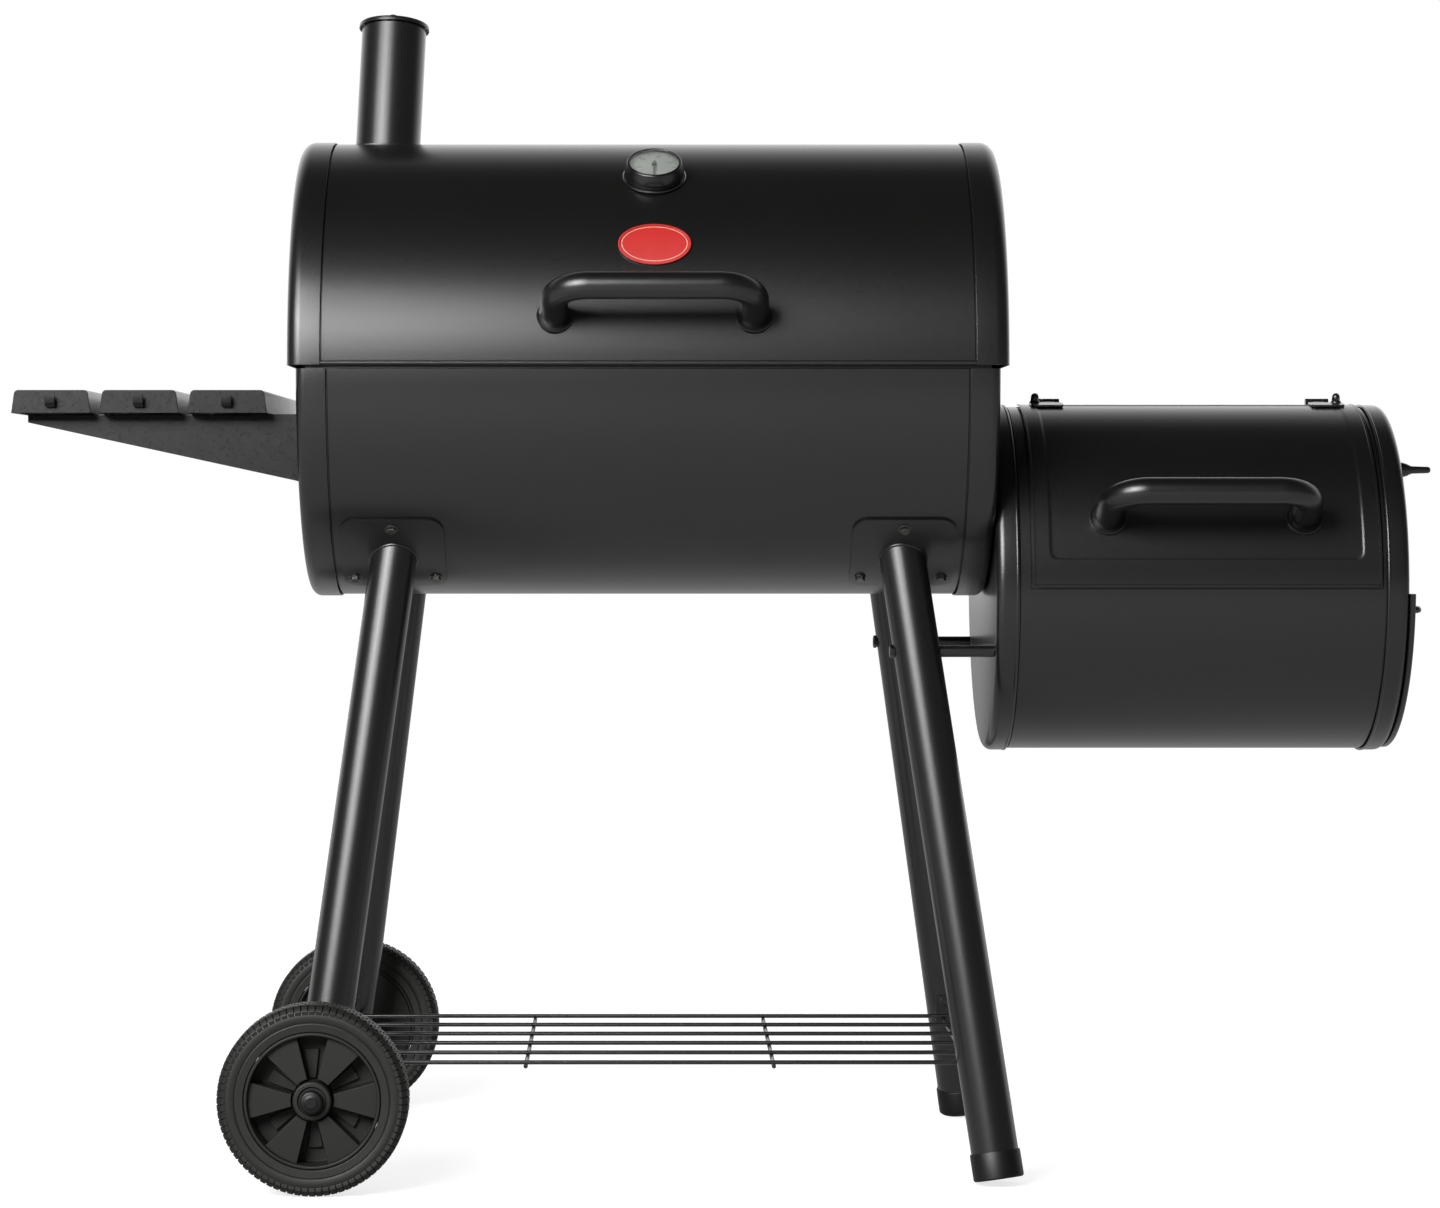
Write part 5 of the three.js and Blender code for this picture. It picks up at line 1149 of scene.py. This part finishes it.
saddle_radius = BARREL_RADIUS + GAP + SADDLE_WALL
for corner, side_y, side_x in [(f"{row}_{end}", y, x) for row, y in SIDES for end, x in ENDS]:
    bottom, up = leg_line(side_x, side_y)
    tube, weld = leg_tube(bottom, up, 0.0 if side_x < 0 else 4.3)
    x = BARREL_X + side_x * LEG_TOP.x
    arc = on_drum(saddle_radius, -SADDLE_ELEVATION if side_y < 0 else SADDLE_ELEVATION - 180)
    saddle = bent_sheet([rectangle(x - SADDLE_HALVES[0], x + SADDLE_HALVES[0],
                                   arc - SADDLE_HALVES[1], arc + SADDLE_HALVES[1],
                                   SADDLE_CORNER, 10)], saddle_radius, SADDLE_WALL)
    parts = [tube, saddle, tubes([[*weld, weld[0]]], 1.5, sides=10)]
    if side_x < 0:
        parts.append(turned([(0, 0.5), (LEG_RADIUS - LEG_WALL, 0.5), (LEG_RADIUS - LEG_WALL, 12),
                             (0, 12)], bottom, up, LEG_SIDES))
    finished(f"leg_{corner}_tube", joined(*parts), f"leg_{corner}")
    fasteners(f"saddle_bolts_{corner}", [
        drum_place(x + across, arc_degrees(arc - side_y * along, saddle_radius), saddle_radius)
        for across, along in SADDLE_BOLTS], scale=0.85, material=nickel)

for name, side in SIDES:
    bottom, up = leg_line(1, side)
    bore = LEG_RADIUS + GAP
    sole = turned([(0, 0), (FOOT_RADIUS - 1.5, 0), (FOOT_RADIUS, 1.5),
                   (FOOT_RADIUS, FOOT_HEIGHT - 1.2), (FOOT_RADIUS - 0.5, FOOT_HEIGHT),
                   (bore, FOOT_HEIGHT), (bore, 4), (0, 4)], bottom, up, LEG_SIDES)
    finished(f"foot_{name}", sole, f"foot_cap_{name}", material=black_plastic, edge=0.0)

# Braces
# Two long bolts through the right legs steady the firebox against them.
BRACE_Z = 500.0
BRACE_RADIUS = 5.5
for name, side in SIDES:
    bottom, up = leg_line(1, side)
    middle = bottom + up * ((BRACE_Z - bottom.z) / up.z)
    head = middle.x - LEG_RADIUS - 0.4
    shank = bar(BRACE_RADIUS, (head - 1, middle.y, BRACE_Z), X_WAY, FIREBOX_LEFT - GAP - head + 1)
    hexagon = turned([(0, 0), (6.6, 0), (6.6, 2.6), (5.4, 3.6), (0, 3.6)],
                     (head, middle.y, BRACE_Z), (-1, 0, 0), 6)
    finished(f"brace_bolt_{name}", joined(shank, hexagon), f"brace_{name}", edge=0.3)

# Axle
# A zinc plated rod through the left legs, with a spacer tube inside each wheel and a pushed-on
# domed cap outside it.
WHEEL_MIDDLE = 272.0
WHEEL_HALF = 20.0
AXLE_RADIUS = 5.0
SPACER_RADIUS = 9.0
AXLE_CAP = 10.7
axle_x = BARREL_X - AXLE_X
# Zinc plate: pale blue-grey and half glossy, for the little that shows of the axle.
zinc = finish_of("Zinc plated steel", "#7d7f80", "#909293", 0.3, 0.06, 4.0, 0.01, 0.95)
axle_end = WHEEL_MIDDLE + WHEEL_HALF + 4.0
bore = AXLE_RADIUS + GAP
finished("axle_rod", bar(AXLE_RADIUS, (axle_x, -axle_end, WHEEL_RADIUS), (0, 1, 0), 2 * axle_end,
                         40), "axle", material=zinc)
for name, side in SIDES:
    start, stop = span(f"axle_spacer_{name}", 1)
    sleeve = turned([(bore, 0), (SPACER_RADIUS, 0), (SPACER_RADIUS, stop - start),
                     (bore, stop - start)], (axle_x, start, WHEEL_RADIUS), (0, 1, 0), 40)
    finished(f"axle_sleeve_{name}", sleeve, f"axle_spacer_{name}", material=zinc)
    dome = turned([(bore, 0), (AXLE_CAP, 0), (AXLE_CAP, 5.4),
                   *arc_points((AXLE_CAP - 2.6, 5.6), 2.6, 0, 90, 6), (5.6, 8.6), (5.0, 9.0),
                   (0, 9.0), (0, 4.8), (bore, 4.8)],
                  (axle_x, side * (WHEEL_MIDDLE + WHEEL_HALF + GAP), WHEEL_RADIUS),
                  (0, side, 0), 48)
    finished(f"axle_dome_{name}", dome, f"axle_cap_{name}", material=black_plastic, edge=0.0)

# Wheels
# One-piece moulded plastic rims with six broad spokes between deep pockets, and solid tyres with
# staggered lugs that wrap over both shoulders.
RIM_RADIUS = 63.6
BEAD_RADIUS = 72.2
HUB_RADIUS = 18.0
SPOKES = 6
SPOKE_FACE = 13.0
POCKET_FLOOR = -7.0
POCKET_BACK = -10.0
PAD_FACE = -3.0
SPOKE_SPAN = (20.0, 60.2)
PAD_SPAN = (19.0, 46.0)
POCKET_ANGLE = 28.0
LUGS = 80
LUG_WIDTH = 5.5
# Moulded wheel plastic: dark olive grey, dull. Tyre rubber: the same tone, duller and dusty.
wheel_plastic = finish_of("Moulded wheel plastic", "#1a1b18", "#1f201d", 0.55, 0.05, 1.5, 0.008,
                          specular=0.12)
tyre_rubber = finish_of("Hard tyre rubber", "#171815", "#1c1d1a", 0.5, 0.06, 1.8, 0.01,
                        drift=30.0, specular=0.16)


def wedges(inner, outer, start, end, high, place, steps=12):
    """A ring sector with flat sides beside each spoke, from the pocket floor up to a height."""
    loop = arc_points((0, 0), outer, start, end, steps) + arc_points((0, 0), inner, end, start,
                                                                     steps)
    low = POCKET_FLOOR - 1
    return round_axis(drawn([(x, y, low) for x, y in loop], (0, 0, high - low)), SPOKES,
                      360 / SPOKES, 90.0, place, wheel_plastic)


def lugs(profile, flip, shift, place):
    """A ring of tread lugs: a profile of (radius, along), drawn across the rolling direction."""
    pitch = 360 / LUGS
    return round_axis(drawn([(reach, -LUG_WIDTH / 2, flip * along) for reach, along in profile],
                            (0, LUG_WIDTH, 0)), LUGS, pitch, shift * pitch, place, tyre_rubber)


SHOULDER_LUG = [(80.0, 18.6), (80.4, 19.6), (83.6, 19.9), (87.2, 17.2), (88.9, 13.6), (88.9, 9.2),
                (86.4, 9.2), (86.4, 13.0), (83.5, 17.6)]
MIDDLE_LUG = [(86.4, 0.9), (88.9, 0.9), (88.9, 7.6), (86.4, 7.6)]
half = WHEEL_HALF
edge_z = half - 1.5
gap_half = POCKET_ANGLE / 2
for name, side in SIDES:
    turn = Vector((0, 0, 1)).rotation_difference(Vector((0, side, 0))).to_matrix().to_4x4()
    spot = Vector((axle_x, side * WHEEL_MIDDLE, WHEEL_RADIUS))
    place = Matrix.Translation(spot) @ turn
    barrel_ring = turned([
        (bore, -half), (HUB_RADIUS, -half), (HUB_RADIUS, POCKET_BACK), (59.5, POCKET_BACK),
        (61.5, -edge_z), (RIM_RADIUS, -edge_z), (RIM_RADIUS, edge_z - 1.0),
        (RIM_RADIUS - 0.8, edge_z), (61.0, edge_z), (60.2, edge_z - 0.8), (60.0, SPOKE_FACE - 1.0),
        (59.6, POCKET_FLOOR), (HUB_RADIUS, POCKET_FLOOR), (HUB_RADIUS, half - 1.6),
        (HUB_RADIUS - 1.2, half - 0.6), (13.5, half - 0.4), (12.6, half - 2.0),
        (bore, half - 2.0)], spot, (0, side, 0), 144)
    spokes = wedges(*SPOKE_SPAN, gap_half, 360 / SPOKES - gap_half, SPOKE_FACE, place)
    pads = wedges(*PAD_SPAN, -gap_half * 0.45, gap_half * 0.75, PAD_FACE, place)
    finished(f"wheel_{name}_rim", joined(barrel_ring, spokes, pads), f"wheel_rim_{name}",
             body=f"wheel_{name}", material=wheel_plastic, edge=0.5)
    seat = RIM_RADIUS + GAP
    face_side = [
        (seat, half - 2.4), (seat + 0.6, half - 1.6), (BEAD_RADIUS - 0.8, half - 1.2),
        (BEAD_RADIUS, half - 1.9), (BEAD_RADIUS + 0.8, half - 1.1), (76.0, half - 0.5),
        (80.0, half - 0.7), (83.2, half - 1.6), (85.6, half - 4.0), (86.8, half - 7.5)]
    far_side = [(radius, -along) for radius, along in reversed(face_side)]
    carcass = turned([*face_side, *far_side], spot, (0, side, 0), 192)
    treads = [lugs(profile, flip, start + (0.5 if flip < 0 else 0.0), place)
              for profile, start in ((SHOULDER_LUG, 0.0), (MIDDLE_LUG, 0.5)) for flip in (1, -1)]
    finished(f"wheel_{name}_tyre", joined(carcass, *treads), f"tyre_{name}",
             body=f"wheel_{name}", material=tyre_rubber, edge=0.3)

# Wire shelf
# Straight steel wires welded on four cross wires, with a flat tab at each leg that is held by a
# small bolt.
WIRE_RADIUS = 2.1
WIRE_Z = 109.0
WIRES = 6
shelf_left, shelf_right = span("wire_shelf", 0)
tab_y = span("wire_shelf", 1)[1]
wire_left, wire_right = shelf_left + 4.0, shelf_right - 4.0
wire_y = tab_y - 1.4
long_wires = [[(x, wire_y * (2 * i / (WIRES - 1) - 1), WIRE_Z) for x in (wire_left, wire_right)]
              for i in range(WIRES)]
cross_wires = [[(x, y, WIRE_Z - 2 * WIRE_RADIUS * 0.9) for y in (-tab_y, tab_y)]
               for x in (wire_left + 4, BARREL_X - 117.0, BARREL_X + 120.0, wire_right - 4)]
tabs, bolts = [], []
for x in (wire_left + 4, wire_right - 4):
    for side in (-1, 1):
        near, far = sorted((side * tab_y, side * (tab_y - 2.0)))
        tabs.append(block((x - 8.0, near, 101.0), (x + 8.0, far, 130.0)))
        bolts.append((Vector((x, side * (tab_y - 2.0), 123.5)), Vector((0, -side, 0))))
finished("lower_wire_shelf", joined(tubes([*long_wires, *cross_wires], WIRE_RADIUS, sides=20),
                                    *tabs), "wire_shelf", edge=0.3)
fasteners("wire_shelf_bolts", bolts, scale=0.7)

# Slatted shelf
# Three slats folded from sheet with rounded top edges, each with a tongue bent into a tool hook,
# bolted on two tapered brackets that are fixed to the barrel's left end.
SHELF_TOP = 750.0
SLAT_TOP_HALF = 34.0
SLAT_BASE_HALF = 37.7
SLAT_HEIGHT = 22.0
SLAT_HALF = 205.0
SLAT_WALL = 1.5
HOOK_HALF = 4.75
HOOK_Z = 735.0
BRACKET_Y = 178.0
# Shelf paint: brushed on thinner than the coat of the drums, so it shines less.
shelf_paint = finish_of("Satin black shelf paint", "#0a0a0a", "#0e0e0d", 0.3, 0.03, 3.0, 0.002,
                        specular=0.16)


def along_y(outline, start, stop):
    """A polygon of (x, z) corners, drawn along y."""
    return drawn([(x, start, z) for x, z in outline], (0, stop - start, 0))


def slat_shell(x, inset, below):
    """A slat with rounded shoulders, drawn in by inset all round and longer below."""
    top = SHELF_TOP - inset
    low = SHELF_TOP - SLAT_HEIGHT - below
    crown, base = SLAT_TOP_HALF - inset, SLAT_BASE_HALF - inset
    radius = 4.0 - inset
    right = arc_points((crown - radius + 1.2, top - radius), radius, 10, 90, 6)
    section = [(-base, low), (base, low), *right, *[(-across, z) for across, z in reversed(right)]]
    return along_y([(x + across, z) for across, z in section], inset - SLAT_HALF,
                   SLAT_HALF - inset)


def tool_hook(x):
    """A strip bent forwards and up, with rounded bends."""
    front = -SLAT_HALF
    path = [(front + 0.5, HOOK_Z), (front - 4.0, HOOK_Z),
            *arc_points((front - 4.6, HOOK_Z + 3.4), 3.4, -90, -180, 5),
            (front - 8.0, HOOK_Z + 10.0)]
    tool = bmesh.new()
    strip = []
    for (y, z), before, after in zip(path, path[:1] + path, path[1:] + path[-1:]):
        way = (Vector(after) - Vector(before)).normalized()
        strip.append([tool.verts.new((x + half, y - sign * way.y, z + sign * way.x))
                      for half, sign in ((-HOOK_HALF, 1), (HOOK_HALF, 1), (HOOK_HALF, -1),
                                         (-HOOK_HALF, -1))])
    for one, two in zip(strip, strip[1:]):
        for k in range(4):
            tool.faces.new([one[k], one[(k + 1) % 4], two[(k + 1) % 4], two[k]])
    tool.faces.new(strip[0])
    tool.faces.new(strip[-1])
    bmesh.ops.recalc_face_normals(tool, faces=tool.faces)
    return tool


for number in (1, 2, 3):
    x = centre(f"shelf_slat_{number}").x
    shell = carved(slat_shell(x, 0, 0), slat_shell(x, SLAT_WALL, 6.0))
    finished(f"slat_{number}", joined(shell, tool_hook(x)), f"shelf_slat_{number}",
             material=shelf_paint, edge=0.6)

for name, side in SIDES:
    tip, root = span(f"shelf_bracket_{name}", 0)
    top = span(f"shelf_bracket_{name}", 2)[1]
    outer, inner, fold = [side * (BRACKET_Y - inset) for inset in (0.0, 2.0, 20.0)]
    web = along_y([(tip, top), (tip, top - 8.0), (root, top - 64.0), (root, top)],
                  *sorted((outer, inner)))
    near, far = sorted((outer, fold))
    flange = block((tip, near, top - 2.0), (root, far, top))
    foot = block((root - 2.0, near, top - 64.0), (root, far, top))
    finished(f"bracket_{name}", joined(web, flange, foot), f"shelf_bracket_{name}",
             material=shelf_paint, edge=0.5)
    fasteners(f"bracket_bolts_{name}", [
        (Vector((root - 2.0, side * (BRACKET_Y - 10.0), z)), Vector((-1, 0, 0)))
        for z in (711.5, 695.3, 678.8)], scale=0.75)

# Camera
# Set where the photograph was taken from: level with the firebox, four metres in front.
camera_data = bpy.data.cameras.new("Camera")
camera_data.sensor_width = 36.0
camera_data.lens = 100.2
camera_data.shift_x = 0.0535
camera_data.shift_y = -0.0687
camera = placed("Camera", camera_data)
camera.location = (-0.0848, -4.0, 0.641)
camera.rotation_euler = (math.radians(90), 0.0, 0.0)
bpy.context.scene.camera = camera
bpy.context.scene.view_settings.view_transform = "Standard"

# Floor
# A pale studio floor that keeps the object's soft shadow.
REACH = 30.0
floor_mesh = bpy.data.meshes.new("Studio floor")
floor_mesh.from_pydata([(-REACH, -REACH, 0), (REACH, -REACH, 0), (REACH, REACH, 0),
                        (-REACH, REACH, 0)], [], [(0, 1, 2, 3)])
floor = placed("Studio floor", floor_mesh)
floor.location.z = -0.0005


def seen(tree):
    """A light path's outputs, and whether the eye looks straight, or through the glass."""
    path = add(tree, "ShaderNodeLightPath", out=None)
    return path, add(tree, "ShaderNodeMath", {0: path["Is Camera Ray"],
                                              1: path["Is Transmission Ray"]}, operation="MAXIMUM")


floor_paint, tree = blank(bpy.data.materials, "Pale studio floor")
path, looked_at = seen(tree)
shown = add(tree, "ShaderNodeMath", {0: looked_at, 1: path["Is Glossy Ray"]}, operation="MAXIMUM")
matt = add(tree, "ShaderNodeBsdfDiffuse", {"Color": linear("#bcbcbc")})
strength = add(tree, "ShaderNodeMapRange", {"Value": looked_at, "To Min": 0.22, "To Max": 0.74})
glow = add(tree, "ShaderNodeEmission", {"Color": (1, 1, 1, 1), "Strength": strength})
both = add(tree, "ShaderNodeAddShader", {0: matt, 1: glow})
add(tree, "ShaderNodeOutputMaterial", {
    "Surface": add(tree, "ShaderNodeMixShader", {0: shown, 1: matt, 2: both})})
floor_mesh.materials.append(floor_paint)

# Studio light
# White walls behind and at the sides, a dark ceiling, and one large soft box in front on the
# left, which draws the pale streaks on the legs, the chimney and the lid.
world, tree = blank(bpy.data.worlds, "Studio")
bpy.context.scene.world = world
parts = add(tree, "ShaderNodeSeparateXYZ", {
    "Vector": add(tree, "ShaderNodeTexCoord", out="Generated")}, out=None)
height = add(tree, "ShaderNodeMath", {0: parts["Z"]}, operation="ARCSINE")
ceiling = add(tree, "ShaderNodeMapRange", {
    "Value": height, "From Min": math.radians(5), "From Max": math.radians(64),
    "To Min": 1.25, "To Max": 0.02}, interpolation_type="SMOOTHSTEP")
across = add(tree, "ShaderNodeCombineXYZ", {"X": parts["X"], "Y": parts["Y"]})
level = add(tree, "ShaderNodeVectorMath", {0: across}, out="Vector", operation="NORMALIZE")
backward = add(tree, "ShaderNodeSeparateXYZ", {"Vector": level}, out="Y")
sides = add(tree, "ShaderNodeMapRange", {
    "Value": backward, "From Min": 0.1, "From Max": 0.85, "To Min": 0.13, "To Max": 1.3},
            interpolation_type="SMOOTHSTEP")
walls = add(tree, "ShaderNodeMath", {0: ceiling, 1: sides}, operation="MULTIPLY")
path, looked_at = seen(tree)
mirrored = add(tree, "ShaderNodeMixRGB", {
    "Fac": path["Is Glossy Ray"], "Color1": (0.55, 0.55, 0.55, 1), "Color2": walls})
sky = add(tree, "ShaderNodeBackground", {"Color": add(tree, "ShaderNodeMixRGB", {
    "Fac": looked_at, "Color1": mirrored, "Color2": (1, 1, 1, 1)}), "Strength": 1.0})
add(tree, "ShaderNodeOutputWorld", {"Surface": sky})

BOX_PLACE = Vector((-1.70, -2.895, 2.015))
BOX_AIM = Vector((-0.08, 0.0, 0.9))
BOX_SIZE = (1.92, 1.34)
# The soft box's mirrored face is set apart from its light, so that each has its own strength.
for name, power, glossy in (("Soft box light", 120.0, False), ("Soft box face", 700.0, True)):
    data = bpy.data.lights.new(name, "AREA")
    data.shape = "RECTANGLE"
    data.size, data.size_y = BOX_SIZE
    data.energy = power
    lamp = placed(name, data)
    lamp.location = BOX_PLACE
    lamp.rotation_euler = (BOX_PLACE - BOX_AIM).to_track_quat("Z", "Y").to_euler()
    lamp.visible_camera = False
    lamp.visible_diffuse = not glossy
    lamp.visible_glossy = glossy
